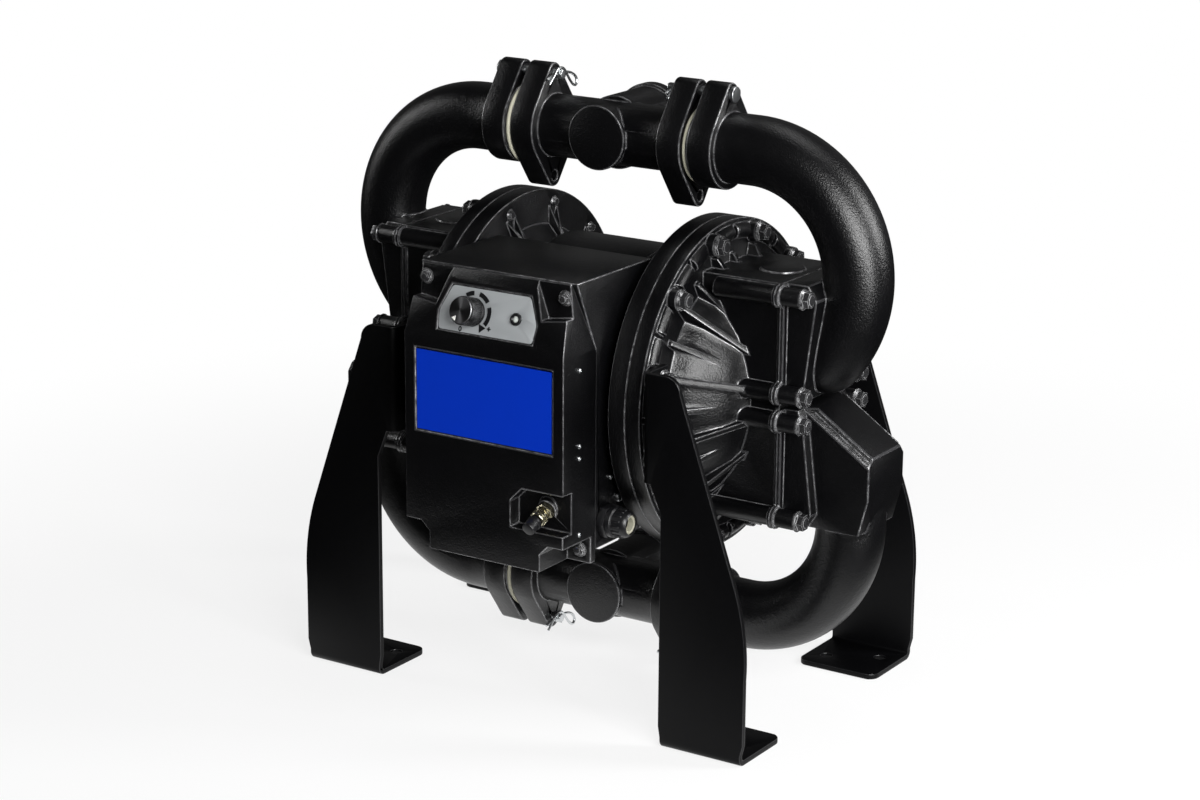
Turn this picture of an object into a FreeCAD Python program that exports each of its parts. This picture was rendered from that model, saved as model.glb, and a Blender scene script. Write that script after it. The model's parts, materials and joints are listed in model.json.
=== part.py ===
import FreeCAD, Part
import math
import os
import re

import Sketcher
from FreeCAD import Placement, Rotation, Vector

# Electric double diaphragm pump, in millimetres.
# The floor is Z = 0, the pump's axis lies along X at axisHeight, and the control side faces -Y.
# Sub-parts named as lying in the pump's frame are drawn with the pump's axis at their own origin.

# Each size stands here once and goes to a cell of the sheet under the same name.
sizes = {
    # overall layout
    "axisHeight": 345,
    "manifoldReach": 255.5,
    "bendReach": 298.5,
    "bendTail": 42,
    "tailHeight": 46.9,
    "tubeRadius": 37,
    "tubeBore": 28,
    # gaps between pieces
    "runningFit": 0.05,
    "looseFit": 0.5,
    "softGap": 0.3,
    # diaphragm joint and its flanges
    "rimPlane": 128,
    "rimThickness": 2,
    "beadRadius": 152,
    "flangeRadius": 178.8,
    "innerFlange": 20.3,
    "coverFlange": 18,
    "boltCircle": 165,
    "boltCount": 12,
    "bossRadius": 11.5,
    "bossHeight": 10,
    # fluid cover
    "domeFoot": 127,
    "domeKneeX": 165,
    "domeKnee": 117,
    "domeShoulderX": 190,
    "domeShoulder": 90,
    "domeEndX": 206,
    "domeEnd": 58,
    "chamberKneeX": 152,
    "chamberKnee": 110,
    "chamberEnd": 66,
    "splitPlane": 241,
    "boxHalfWidth": 57,
    "boxMargin": 12,
    "portLift": 3,
    "portSpacing": 134,
    "portBoltY": 61.5,
    "portBoltZ": 52,
    "portBossRadius": 10,
    "portBossStart": 166,
    "lipThickness": 4,
    "lipOverhang": 2.5,
    "ribThickness": 6,
    "ribRoot": 4,
    "ribStand": 6,
    "ribRise": 8,
    "ribSetback": 10,
    "ridgeHalfWidth": 8,
    "ridgeHeight": 7,
    "ridgeStep": 2,
    "ridgeGap": 3,
    "padRadius": 24,
    "padHeight": 2,
    # elbow
    "elbowBossEnd": 268,
    "neckHalfWidth": 52,
    "neckSetback": 8,
    "neckRise": 18,
    "neckBulge": 12,
    "neckShoulder": 16,
    "hoodHalfWidth": 39,
    "hoodStart": 10,
    "hoodBrow": 4,
    "hoodHeel": 8,
    "hoodEndX": 338,
    "hoodDrop": 44,
    "hoodBevel": 8,
    # check valves
    "outletValveX": 209,
    "seatThickness": 10,
    "seatRadius": 25,
    "seatBore": 15,
    "ballRadius": 20,
    "ballLift": 10,
    "stopRadius": 6,
    "ductRadius": 14,
    "ductHeight": 8,
    "ductLedge": 3,
    "chamberHead": 4,
    # clamped pipe joints
    "jointPlane": 112,
    "gasketThickness": 5,
    "gasketRadius": 42,
    "plateThickness": 29,
    "plateGap": 8.2,
    "plateRadius": 45,
    "lobeReach": 56,
    "lobeTip": 12,
    "pinRadius": 5,
    "pinHeadRadius": 8.5,
    "pinHead": 5,
    "pinTail": 11,
    "hairpinWire": 1.6,
    # manifold tees
    "teeTubeRadius": 34,
    "blindRadius": 35,
    "blindReach": 39,
    "blindRim": 6,
    "portReach": 80,
    "portBarrel": 40,
    "portRim": 43.5,
    "portRimWidth": 14,
    "portThread": 29.3,
    "portThreadLength": 30,
    # inner cover and its hub
    "hubEnd": 88,
    "hubRadius": 119,
    "hubFoot": 140,
    "cavityBevel": 9,
    "plateRoom": 5,
    "webHeight": 3,
    "webThickness": 3,
    "webSpacing": 5,
    "webLean": 14,
    "webInset": 8,
    "webRoot": 1,
    "bearingSeat": 36,
    "bearingWall": 8,
    "bearingWidth": 18,
    "bushRadius": 20,
    "bushLength": 12,
    # drive
    "rodRadius": 14,
    "studRadius": 8,
    "rodStroke": 18,
    "strokeMargin": 3,
    "plateRadiusInner": 82,
    "innerPlate": 8,
    "plateSlope": 14,
    "diaphragmHub": 6,
    "foldGap": 2,
    "rollHeight": 6,
    "rollThickness": 5,
    "outerPlate": 10,
    "plateCrown": 10,
    "crownFoot": 48,
    "crownTop": 22,
    "studReach": 8,
    "rotorRadius": 60,
    "rotorHalf": 50,
    "rotorShaft": 25,
    "airGap": 0.8,
    "statorRadius": 100,
    "windingRadius": 92,
    "windingHalf": 62,
    # centre housing
    "barrelRadius": 138,
    "barrelHalf": 64,
    "housingGap": 10.7,
    "housingTop": 146,
    "housingBottom": -145,
    "housingBack": -80,
    "partingFront": -185.5,
    "partingBend": 71,
    "partingTop": -220,
    "bayBack": -116,
    "bayHalf": 82,
    "bayInset": 24,
    "sealLand": 8,
    "boardMargin": 12,
    "boardStand": 10,
    "boardThickness": 2,
    "postRadius": 4,
    "chipSide": 34,
    "chipHeight": 14,
    "chipGap": 12,
    # control cover
    "coverEdge": 2,
    "coverFront": -248,
    "coverBottom": -157,
    "coverTopHalf": 92,
    "coverWall": 5,
    "coverSeal": 1.5,
    "sealInset": 2,
    "browEdge": 2,
    "cutPast": 1,
    "consoleFoot": 74,
    "consoleTop": 137.7,
    "consoleTilt": 17,
    "consoleWall": 6,
    "notchHalf": 29,
    "notchCorner": 10,
    "notchSeat": 9,
    "topNotchX": 52,
    "topNotchFoot": 66,
    "topNotchZ": 107,
    "topNotchRise": 5,
    "cornerBoltX": 86,
    "cornerBoltTop": 131,
    "cornerBoltBottom": -143,
    "cornerBoltRadius": 3,
    "cornerBoltFlats": 10,
    "cornerBoltHead": 6,
    "cornerBoltDepth": 20,
    "scoopLeft": 34,
    "scoopTop": -71,
    "scoopBottom": -114,
    "scoopCorner": 14,
    "scoopDepth": 16,
    # name plate, panel and knob
    "plateHalfX": 84,
    "plateBottom": -27.4,
    "plateTop": 58.4,
    "plateSheet": 1.2,
    "plateRecess": 0.4,
    "plateMargin": 2,
    "panelLow": 10,
    "panelLowHalf": 58,
    "panelWideHeight": 29,
    "panelWideHalf": 60,
    "panelTop": 56.5,
    "panelTopHalf": 48,
    "panelGroove": 1.5,
    "knobX": -18,
    "knobV": 32,
    "knobRadius": 15,
    "knobHeight": 24,
    "knobStep": 2,
    "shaftRadius": 3,
    "shaftEnd": 12,
    "shaftDepth": 8,
    "dialRadius": 10,
    "dialDepth": 12,
    "lightX": 35,
    "lightRadius": 5.4,
    "lightDepth": 2,
    "lightStand": 1,
    # gland and connector on the control housing
    "glandY": -166,
    "glandZ": -117,
    "glandThread": 12.5,
    "glandFlats": 32,
    "glandHex": 9,
    "glandNut": 24,
    "cableRadius": 7,
    "sealWall": 3,
    "sealRecess": 1,
    "glandStep": 2,
    "glandNeck": 12,
    "plugX": 70.5,
    "plugZ": -91,
    "plugTilt": 20,
    "plugBoss": 11,
    "plugStand": 3,
    "plugFlats": 17,
    "plugNut": 6,
    "plugStem": 17,
    "plugStemRadius": 6,
    "plugCap": 14,
    "plugCapRadius": 7.5,
    # bent steel legs
    "legFace": -190.5,
    "legSheet": 6,
    "legInner": 180,
    "legOuter": 282,
    "legTopRise": 57,
    "legShoulderX": 201,
    "legShoulderRise": 40,
    "legShoulderRound": 18,
    "legWaistX": 269,
    "legWaistZ": 191,
    "legBow": 4,
    "legBowZ": 156.6,
    "legThroat": 30,
    "tabDrop": 60,
    "tabDepth": 41,
    "footDepth": 88,
    "footInner": 182,
    "footOuter": 279,
    "footCorner": 12,
    "footHoleRadius": 6.5,
    "footHoleInset": 28,
    "footHoleX": 204,
    "footHoleSpacing": 53,
    "footHoleStagger": 28,
    # fasteners
    "boltRadius": 5,
    "boltFlats": 16,
    "boltHead": 10,
    "boltTail": 4,
    "boltDepth": 24,
    "screwRadius": 3.5,
    "screwHead": 2,
    "sideScrewY": -218,
    "sideScrewHigh": 56,
    "sideScrewMiddle": -24,
    "sideScrewPitch": 13,
    "sideScrewLow": -119,
    "housingScrewY": -155.5,
    "housingScrewZ": -73,
    "housingPlugRadius": 5,
    "housingPlugHead": 3,
    "housingPlugY": -140,
    "housingPlugZ": -99,
}

document = FreeCAD.newDocument("DiaphragmPump")
sheet = document.addObject("Spreadsheet::Sheet", "Sizes")
outputs = []


def fill_sheet():
    for row, (name, size) in enumerate(sizes.items(), start=1):
        sheet.set(f"A{row}", name)
        sheet.set(f"B{row}", str(size))
        sheet.setAlias(f"B{row}", name)
    document.recompute()


def formula(text):
    """The text with every size name turned into a reference to its cell."""
    def reference(word):
        return f"Sizes.{word.group()}" if word.group() in sizes else word.group()
    return re.sub(r"[A-Za-z]\w*", reference, str(text))


def value(text):
    """The number that a formula of size names gives."""
    found = sheet.evalExpression(formula(text))
    return float(getattr(found, "Value", found))


def bind(item, **formulas):
    for name, text in formulas.items():
        item.setExpression(name, formula(text))


# Sketches

def origin_feature(body, role):
    return next(item for item in body.Origin.OriginFeatures if item.Role == role)


def new_body(label, frame_height="axisHeight"):
    body = document.addObject("PartDesign::Body", label)
    body.Label = label
    body.AllowCompound = True
    body.Placement = Placement(Vector(0, 0, value(frame_height)), Rotation())
    body.setExpression(".Placement.Base.z", formula(frame_height))
    outputs.append(body)
    return body


def place_sketch(body, plane, offset):
    """A sketch on an origin plane, moved along the axis that the plane faces."""
    sketch = body.newObject("Sketcher::SketchObject", "Sketch")
    sketch.AttachmentSupport = (origin_feature(body, f"{plane}_Plane"), "")
    sketch.MapMode = "FlatFace"
    sign = "-1" if plane == "XZ" else "1"
    sketch.setExpression(".AttachmentOffset.Base.z", formula(f"{sign} * ({offset})"))
    sketch.Visibility = False
    return sketch


def pin_point(sketch, curve, end, x, y):
    """Fix one point of a curve by its two distances from the sketch's origin."""
    for kind, text in (("DistanceX", x), ("DistanceY", y)):
        rule = sketch.addConstraint(Sketcher.Constraint(kind, -1, 1, curve, end, value(text)))
        sketch.setExpression(f"Constraints[{rule}]", formula(text))


def draw_circle(sketch, x, y, radius):
    circle = sketch.addGeometry(Part.Circle(Vector(value(x), value(y), 0), Vector(0, 0, 1), value(radius)))
    pin_point(sketch, circle, 3, x, y)
    rule = sketch.addConstraint(Sketcher.Constraint("Radius", circle, value(radius)))
    sketch.setExpression(f"Constraints[{rule}]", formula(radius))


def draw_span(sketch, here, there):
    """A line, or an arc through a middle point, with the numbers of its first and last ends."""
    start = Vector(value(here[0]), value(here[1]), 0)
    end = Vector(value(there[0]), value(there[1]), 0)
    if len(here) == 2:
        return sketch.addGeometry(Part.LineSegment(start, end)), 1, 2
    middle = Vector(value(here[2]), value(here[3]), 0)
    anticlockwise = (middle - start).cross(end - middle).z > 0
    ends = (start, end) if anticlockwise else (end, start)
    arc = sketch.addGeometry(Part.Arc(ends[0], middle, ends[1]))
    mark = sketch.addGeometry(Part.Point(middle), True)
    pin_point(sketch, mark, 1, here[2], here[3])
    sketch.addConstraint(Sketcher.Constraint("PointOnObject", mark, 1, arc))
    return (arc, 1, 2) if anticlockwise else (arc, 2, 1)


def draw_outline(sketch, corners, closed=True):
    """Lines and arcs from corner to corner. A corner of four values starts an arc."""
    following = corners[1:] + corners[:1] if closed else corners[1:]
    spans = [draw_span(sketch, here, there) for here, there in zip(corners, following)]
    for (curve, first, last), corner in zip(spans, corners):
        pin_point(sketch, curve, first, corner[0], corner[1])
    for here, there in zip(spans, spans[1:] + spans[:1] if closed else spans[1:]):
        sketch.addConstraint(Sketcher.Constraint("Coincident", here[0], here[2], there[0], there[1]))
    if not closed:
        pin_point(sketch, spans[-1][0], spans[-1][2], corners[-1][0], corners[-1][1])


def draw(sketch, loops):
    for loop in loops:
        if isinstance(loop, list):
            draw_outline(sketch, loop)
        else:
            draw_circle(sketch, *loop)


def rectangle(left, right, bottom, top):
    return [(left, bottom), (right, bottom), (right, top), (left, top)]


def hexagon(flats, x="0", y="0"):
    """A hexagon with two of its flats level."""
    reach = f"({flats}) / sqrt(3)"
    half = f"({flats}) / 2"
    return [(f"{x} + {reach}", y), (f"{x} + {reach} / 2", f"{y} + {half}"),
            (f"{x} - {reach} / 2", f"{y} + {half}"), (f"{x} - {reach}", y),
            (f"{x} - {reach} / 2", f"{y} - {half}"), (f"{x} + {reach} / 2", f"{y} - {half}")]


# Features

def extrusion(kind, body, plane, start, end, loops):
    """Draw the loops at the start and carry them to the end, along the axis that the plane faces."""
    sketch = place_sketch(body, plane, start)
    draw(sketch, loops)
    feature = body.newObject(f"PartDesign::{kind}", kind)
    feature.Profile = sketch
    bind(feature, Length=f"({end}) - ({start})")
    feature.Reversed = (plane == "XZ") == (kind == "Pad")
    return feature


def add(body, plane, start, end, loops):
    return extrusion("Pad", body, plane, start, end, loops)


def cut(body, plane, start, end, loops):
    return extrusion("Pocket", body, plane, start, end, loops)


def turning(kind, body, loops, axis):
    sketch = place_sketch(body, "XZ", "0")
    draw(sketch, loops)
    feature = body.newObject(f"PartDesign::{kind}", kind)
    feature.Profile = sketch
    feature.ReferenceAxis = (sketch, [axis])
    feature.Angle = 360
    return feature


def turn(body, loops, axis="H_Axis"):
    return turning("Revolution", body, loops, axis)


def turn_out(body, loops, axis="H_Axis"):
    return turning("Groove", body, loops, axis)


def repeat_round(body, features, count, role="X_Axis"):
    pattern = body.newObject("PartDesign::PolarPattern", "PolarPattern")
    pattern.Originals = features
    pattern.Axis = (origin_feature(body, role), [""])
    pattern.Angle = 360
    bind(pattern, Occurrences=count)
    body.Tip = pattern
    return pattern


def bend(kind, body, side, radius, angle):
    """A round section turned about the centre of an elbow's bend."""
    sketch = place_sketch(body, "YZ", bendStart)
    draw_circle(sketch, "0", f"{side} * manifoldReach", radius)
    hub = f"{side} * (manifoldReach - {bendRadius})"
    near, far = Vector(-5 * side, value(hub), 0), Vector(5 * side, value(hub), 0)
    axis = sketch.addGeometry(Part.LineSegment(near, far), True)
    pin_point(sketch, axis, 1, f"{-5 * side}", hub)
    pin_point(sketch, axis, 2, f"{5 * side}", hub)
    feature = body.newObject(f"PartDesign::{kind}", kind)
    feature.Profile = sketch
    feature.ReferenceAxis = (sketch, ["Axis0"])
    bind(feature, Angle=angle)
    return feature


def ball_end(kind, body, x, y, z, radius):
    ball = body.newObject(f"PartDesign::{kind}", kind)
    ball.AttachmentSupport = (origin_feature(body, "XY_Plane"), "")
    ball.MapMode = "FlatFace"
    bind(ball, Radius=radius)
    for axis, text in (("x", x), ("y", y), ("z", z)):
        ball.setExpression(f".AttachmentOffset.Base.{axis}", formula(text))
    return ball


def round_edges(kind, body, size, wanted):
    """A fillet or chamfer on the edges of the body so far that the test picks."""
    document.recompute()
    base = body.Tip
    names = [f"Edge{number}" for number, edge in enumerate(base.Shape.Edges, start=1) if wanted(edge)]
    if not names:
        raise RuntimeError(f"no edge of {body.Label} to work on")
    feature = body.newObject(f"PartDesign::{kind}", kind)
    feature.Base = (base, names)
    bind(feature, **{"Radius" if kind == "Fillet" else "Size": size})
    return feature


def mirror_twin(source, label, normal):
    twin = document.addObject("Part::Mirroring", label)
    twin.Label = label
    twin.Source = source
    twin.Normal = normal
    outputs.append(twin)
    return twin


def half_turn_twin(source, label):
    """The same piece on the pump's other end, turned half round the upright axis."""
    twin = document.addObject("Part::Compound", label)
    twin.Label = label
    twin.Links = [source]
    twin.Placement = Placement(Vector(), Rotation(Vector(0, 0, 1), 180))
    outputs.append(twin)
    return twin


def group_piece(label, shapes, place=None):
    """Like solids at several places, kept as one piece."""
    document.recompute()
    piece = document.addObject("Part::Feature", label)
    piece.Label = label
    piece.Shape = Part.makeCompound(shapes)
    piece.Placement = place or Placement(Vector(0, 0, value("axisHeight")), Rotation())
    outputs.append(piece)
    return piece


# Places that several sub-parts share

innerBead = "(rimPlane - rimThickness / 2)"
coverBead = "(rimPlane + rimThickness / 2)"
flangeBack = "(rimPlane - innerFlange)"
flangeTop = "(rimPlane + coverFlange)"
bossTop = f"({flangeTop} + bossHeight)"
boltY = "boltCircle * sin(180deg / boltCount)"
boltZ = "boltCircle * cos(180deg / boltCount)"
teeFace = "(jointPlane - gasketThickness)"
elbowPlateStart = f"({teeFace} + plateGap)"
elbowPlateEnd = f"({elbowPlateStart} + plateThickness)"
teePlateStart = f"({teeFace} - plateThickness)"
hubFloor = "(rimPlane - diaphragmHub / 2 - innerPlate - rodStroke - strokeMargin)"
bushStart = f"({hubFloor} - bushLength)"
chamberFloor = "(rimPlane + diaphragmHub / 2 + outerPlate + plateCrown + rodStroke + strokeMargin)"
housingHalf = f"({flangeBack} - housingGap)"
coverHalf = f"({housingHalf} + coverEdge)"
legTop = "(axisHeight + legTopRise)"
tabBottom = "(axisHeight - tabDrop)"
bendRadius = "((manifoldReach - tailHeight) / (1 + sin(bendTail * 1deg)))"
bendStart = f"(bendReach - {bendRadius})"
outletSeatTop = "(ductHeight + ductRadius + ductLedge + seatThickness)"
inletSeatTop = f"({bendRadius} - manifoldReach + seatThickness)"
inletValveX = "bendReach"
ballRise = "(sqrt(ballRadius ^ 2 - (seatBore - 1) ^ 2) + runningFit)"
ballStop = f"({ballRise} + ballRadius + ballLift + runningFit)"
bayBottom = "(housingBottom + bayInset)"
bayTop = "(partingBend - sealLand)"
coverBack = "(partingFront - coverSeal)"
coverBackTop = "(partingTop - coverSeal)"
topBoltSeat = f"({coverBackTop} - 3)"
bottomBoltSeat = f"({coverBack} - notchSeat)"
webOffset = "(webSpacing / 2 + hubRadius * sin(webLean * 1deg))"


def port_height(side):
    """Height of a port above the pump's axis: side is 1 for the outlet and -1 for the inlet."""
    return f"(portLift + {side} * portSpacing / 2)"


def port_bolts(side):
    """The four bolt places round a port, as Y and Z."""
    height = port_height(side)
    return [(f"{y} * portBoltY", f"{height} + {z} * portBoltZ") for y in (-1, 1) for z in (-1, 1)]


def box_span(side):
    height = port_height(side)
    return f"{height} - portBoltZ - boxMargin", f"{height} + portBoltZ + boxMargin"


def bend_point(side, angle):
    """A point on an elbow's bend, by its angle above the bend's centre."""
    x = f"({bendStart} + {bendRadius} * cos(({angle}) * 1deg))"
    z = f"({side} * (manifoldReach - {bendRadius} * (1 - sin(({angle}) * 1deg))))"
    return x, z


def lobe_loops(side, reach_side):
    """A plate's lobe as a tapered web and a round tip, tangent to the plate's own circle."""
    lean = "(plateRadius - lobeTip) / lobeReach"
    level = f"sqrt(1 - ({lean}) ^ 2)"
    centre = f"{side} * manifoldReach"
    tip = f"{centre} + {reach_side} * lobeReach"
    foot_y = f"plateRadius * {level}"
    foot_z = f"{centre} + {reach_side} * plateRadius * {lean}"
    top_y = f"lobeTip * {level}"
    top_z = f"{tip} + {reach_side} * lobeTip * {lean}"
    crown = f"{tip} + {reach_side} * lobeTip"
    return [(f"-1 * {foot_y}", foot_z), (foot_y, foot_z),
            (top_y, top_z, "0", crown), (f"-1 * {top_y}", top_z)]


# Legs

def leg_outline():
    """The leg's front view above its foot: a broad base that narrows to the shoulder on the pump."""
    shoulder = "axisHeight + legShoulderRise"
    corner_x = "legShoulderX - legShoulderRound * (1 - sqrt(0.5))"
    corner_z = f"{legTop} - (legTopRise - legShoulderRise) * (1 - sqrt(0.5))"
    return [("footInner", "2 * legSheet"), ("footOuter", "2 * legSheet"), ("legOuter", "4 * legSheet"),
            ("legOuter", "legWaistZ / 2", "legOuter - legBow", "legBowZ"), ("legWaistX", "legWaistZ"),
            ("legShoulderX", shoulder, corner_x, corner_z),
            ("legShoulderX - legShoulderRound", legTop), (f"{bossTop} + 2 * legSheet", legTop),
            (f"{bossTop} + 2 * legSheet", tabBottom), ("legInner", f"{tabBottom} - legThroat"),
            ("legInner", "4 * legSheet")]


def bend_section(edge, face, reach):
    """Section of a plate bent square: it leaves along the first axis and ends along the second."""
    outer = "1.5 * legSheet"
    outer_mid = f"{outer} * (1 - sqrt(0.5))"
    inner_mid = f"(legSheet + ({outer} - legSheet) * (1 - sqrt(0.5)))"
    return [(edge, f"{face} + {reach}"),
            (edge, f"{face} + {outer}", f"{edge} + {outer_mid}", f"{face} + {outer_mid}"),
            (f"{edge} + {outer}", face), (f"{edge} + 2 * legSheet", face),
            (f"{edge} + 2 * legSheet", f"{face} + legSheet"),
            (f"{edge} + {outer}", f"{face} + legSheet", f"{edge} + {inner_mid}", f"{face} + {inner_mid}"),
            (f"{edge} + legSheet", f"{face} + {outer}"), (f"{edge} + legSheet", f"{face} + {reach}")]


def leg_bolt_places():
    return [(f"-1 * boltCircle * cos(180deg / boltCount)", f"{z} * boltCircle * sin(180deg / boltCount)")
            for z in (-1, 1)]


def make_leg():
    leg = new_body("leg_front_right", "0")
    add(leg, "XZ", "legFace", "legFace + legSheet", [leg_outline()])
    add(leg, "XY", tabBottom, legTop, [bend_section(bossTop, "legFace", "tabDepth")])
    foot = [(y, z, *middle) for z, y, *middle in bend_section("0", "legFace", "footDepth")]
    foot = [(corner[0], corner[1], corner[3], corner[2]) if len(corner) == 4 else corner for corner in foot]
    add(leg, "YZ", "footInner", "footOuter", [foot])
    round_edges("Fillet", leg, "footCorner", foot_corner)
    holes = [(f"footHoleX + {step} * footHoleSpacing",
              f"legFace + footDepth - footHoleInset - {step} * footHoleStagger", "footHoleRadius")
             for step in (0, 1)]
    cut(leg, "XY", "0", "legSheet", holes)
    bolts = [(y, f"axisHeight + {z}", "boltRadius + looseFit") for y, z in leg_bolt_places()]
    cut(leg, "YZ", bossTop, f"{bossTop} + legSheet", bolts)
    return leg


def straight_along(edge, axis):
    """Whether an edge is a straight line along one axis."""
    if not isinstance(edge.Curve, Part.Line):
        return False
    return abs(abs(edge.Curve.Direction.dot(axis)) - 1) < 1e-6


def foot_corner(edge):
    """The two free corners of the foot."""
    middle = edge.CenterOfMass
    free_end = abs(middle.y - value("legFace + footDepth")) < 0.01
    return free_end and straight_along(edge, Vector(0, 0, 1))


def make_legs():
    front_right = make_leg()
    mirror_twin(front_right, "leg_front_left", Vector(1, 0, 0))
    rear_right = mirror_twin(front_right, "leg_rear_right", Vector(0, 1, 0))
    mirror_twin(rear_right, "leg_rear_left", Vector(1, 0, 0))


# Fluid covers

def make_fluid_cover():
    cover = new_body("fluid_cover_right")
    dome = [("rimPlane", "0"), ("rimPlane", "flangeRadius"), (flangeTop, "flangeRadius"),
            (flangeTop, "domeFoot"), ("domeKneeX", "domeKnee"), ("domeShoulderX", "domeShoulder"),
            ("domeEndX", "domeEnd"), ("domeEndX", "0")]
    turn(cover, [dome])
    bottom = box_span(-1)[0]
    top = box_span(1)[1]
    port_box = rectangle("-1 * boxHalfWidth", "boxHalfWidth", bottom, top)
    add(cover, "YZ", f"{flangeTop} - 1", "splitPlane", [port_box])
    bosses = [(y, z, "portBossRadius") for side in (-1, 1) for y, z in port_bolts(side)]
    add(cover, "YZ", "portBossStart", "splitPlane", bosses)
    add_lips(cover, "splitPlane - lipThickness", "splitPlane", (-1, 1))
    add(cover, "XY", top, f"{top} + padHeight", [("outletValveX", "0", "padRadius")])
    add_cover_ribs(cover)
    add_flange_pads(cover)
    add_flange_bosses(cover)
    cut_fluid_passages(cover)
    return cover


def add_lips(body, start, end, sides):
    """The raised lips along the split, widened round each bolt boss."""
    reach = "boxHalfWidth + lipOverhang"
    for side in sides:
        bottom, top = box_span(side)
        add(body, "YZ", start, end, [rectangle(f"-1 * ({reach})", reach, bottom, top)])
        collars = [(y, z, "portBossRadius + lipOverhang") for y, z in port_bolts(side)]
        for collar in collars:
            add(body, "YZ", start, end, [collar])


def add_cover_ribs(cover):
    """Long ribs that start at the flange bolts, with short ones between them."""
    half = "ribThickness / 2"
    foot = "boltCircle - bossRadius"
    root = f"{flangeTop} - ribRoot"
    long_rib = [(root, foot), (f"{flangeTop} + ribStand", foot), ("domeShoulderX", "domeShoulder + ribRise"),
                ("domeEndX + ribStand", "domeEnd + ribRise"), ("domeEndX - ribRoot", "domeEnd - ribRoot"),
                ("domeShoulderX - ribStand", "domeShoulder - ribRoot"), (root, "domeFoot - ribRoot")]
    short_rib = [(root, f"{foot} - ribSetback"), (f"{flangeTop} + ribRoot", f"{foot} - ribSetback"),
                 ("domeShoulderX - ribRoot", "domeShoulder + ribRoot"),
                 ("domeShoulderX - 2 * ribStand", "domeShoulder"), (root, "domeFoot - ribStand")]
    first = add(cover, "XZ", f"-1 * {half}", half, [long_rib])
    turn_to_bolt(first, f"-1 * {half}")
    repeat_round(cover, [first], "boltCount")
    second = add(cover, "XZ", f"-1 * {half}", half, [short_rib])
    repeat_round(cover, [second], "boltCount")


def add_flange_pads(cover):
    """Half round pads along the bolt circle, parted round each boss and again midway between two."""
    low, high = "boltCircle - ridgeHalfWidth", "boltCircle + ridgeHalfWidth"
    base = f"{flangeTop} - ridgeStep"
    shoulder = f"{flangeTop} + ridgeStep"
    crown = f"{flangeTop} + ridgeHeight"
    turn(cover, [[(base, low), (shoulder, low, crown, "boltCircle"), (shoulder, high), (base, high)]])
    around_boss = cut(cover, "YZ", flangeTop, crown, [(boltY, boltZ, "bossRadius + ridgeGap")])
    repeat_round(cover, [around_boss], "boltCount")
    slot = rectangle("-1 * ridgeGap", "ridgeGap", f"{low} - ridgeStep", f"{high} + ridgeStep")
    midway = cut(cover, "YZ", flangeTop, crown, [slot])
    repeat_round(cover, [midway], "boltCount")


def turn_to_bolt(feature, start, lean="0"):
    """Turn a feature's sketch from the upright to the first flange bolt, and past it by the lean."""
    sketch = feature.Profile[0]
    spin = Rotation(Vector(1, 0, 0), value(f"180 / boltCount + {lean}"))
    sketch.setExpression(".AttachmentOffset.Base.z", None)
    sketch.AttachmentOffset = Placement(spin.multVec(Vector(0, 0, -value(start))), spin)


def add_flange_bosses(cover):
    boss = add(cover, "YZ", f"{flangeTop} - 1", bossTop, [(boltY, boltZ, "bossRadius")])
    repeat_round(cover, [boss], "boltCount")
    hole = cut(cover, "YZ", "rimPlane", bossTop, [(boltY, boltZ, "boltRadius + looseFit")])
    repeat_round(cover, [hole], "boltCount")


def cut_fluid_passages(cover):
    """The diaphragm's chamber, both ports, the outlet valve's chamber with its ball stop, and the duct."""
    chamber = [("rimPlane", "0"), ("rimPlane", "beadRadius"), (coverBead, "beadRadius"),
               (coverBead, "domeFoot"), ("chamberKneeX", "chamberKnee"), (chamberFloor, "chamberEnd"),
               (chamberFloor, "0")]
    turn_out(cover, [chamber])
    outlet = port_height(1)
    cut(cover, "YZ", "outletValveX", "splitPlane", [("0", outlet, "tubeBore")])
    cut(cover, "YZ", f"{chamberFloor} - 1", "splitPlane", [("0", port_height(-1), "tubeBore")])
    seat = f"({outletSeatTop} - seatThickness)"
    roof = f"({outlet} + tubeBore + chamberHead)"
    cut(cover, "XY", seat, roof, [("outletValveX", "0", "seatRadius")])
    cut(cover, "XY", "ductHeight - ductRadius - ductLedge", seat, [("outletValveX", "0", "seatBore")])
    cut(cover, "YZ", f"{chamberFloor} - 1", "outletValveX", [("0", "ductHeight", "ductRadius")])
    add(cover, "XY", f"{outletSeatTop} + {ballStop}", roof, [("outletValveX", "0", "stopRadius")])
    threads = [(y, z, "boltRadius + runningFit") for side in (-1, 1) for y, z in port_bolts(side)]
    cut(cover, "YZ", "splitPlane - boltDepth", "splitPlane", threads)


def make_fluid_covers():
    right = make_fluid_cover()
    half_turn_twin(right, "fluid_cover_left")


# Elbows

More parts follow.
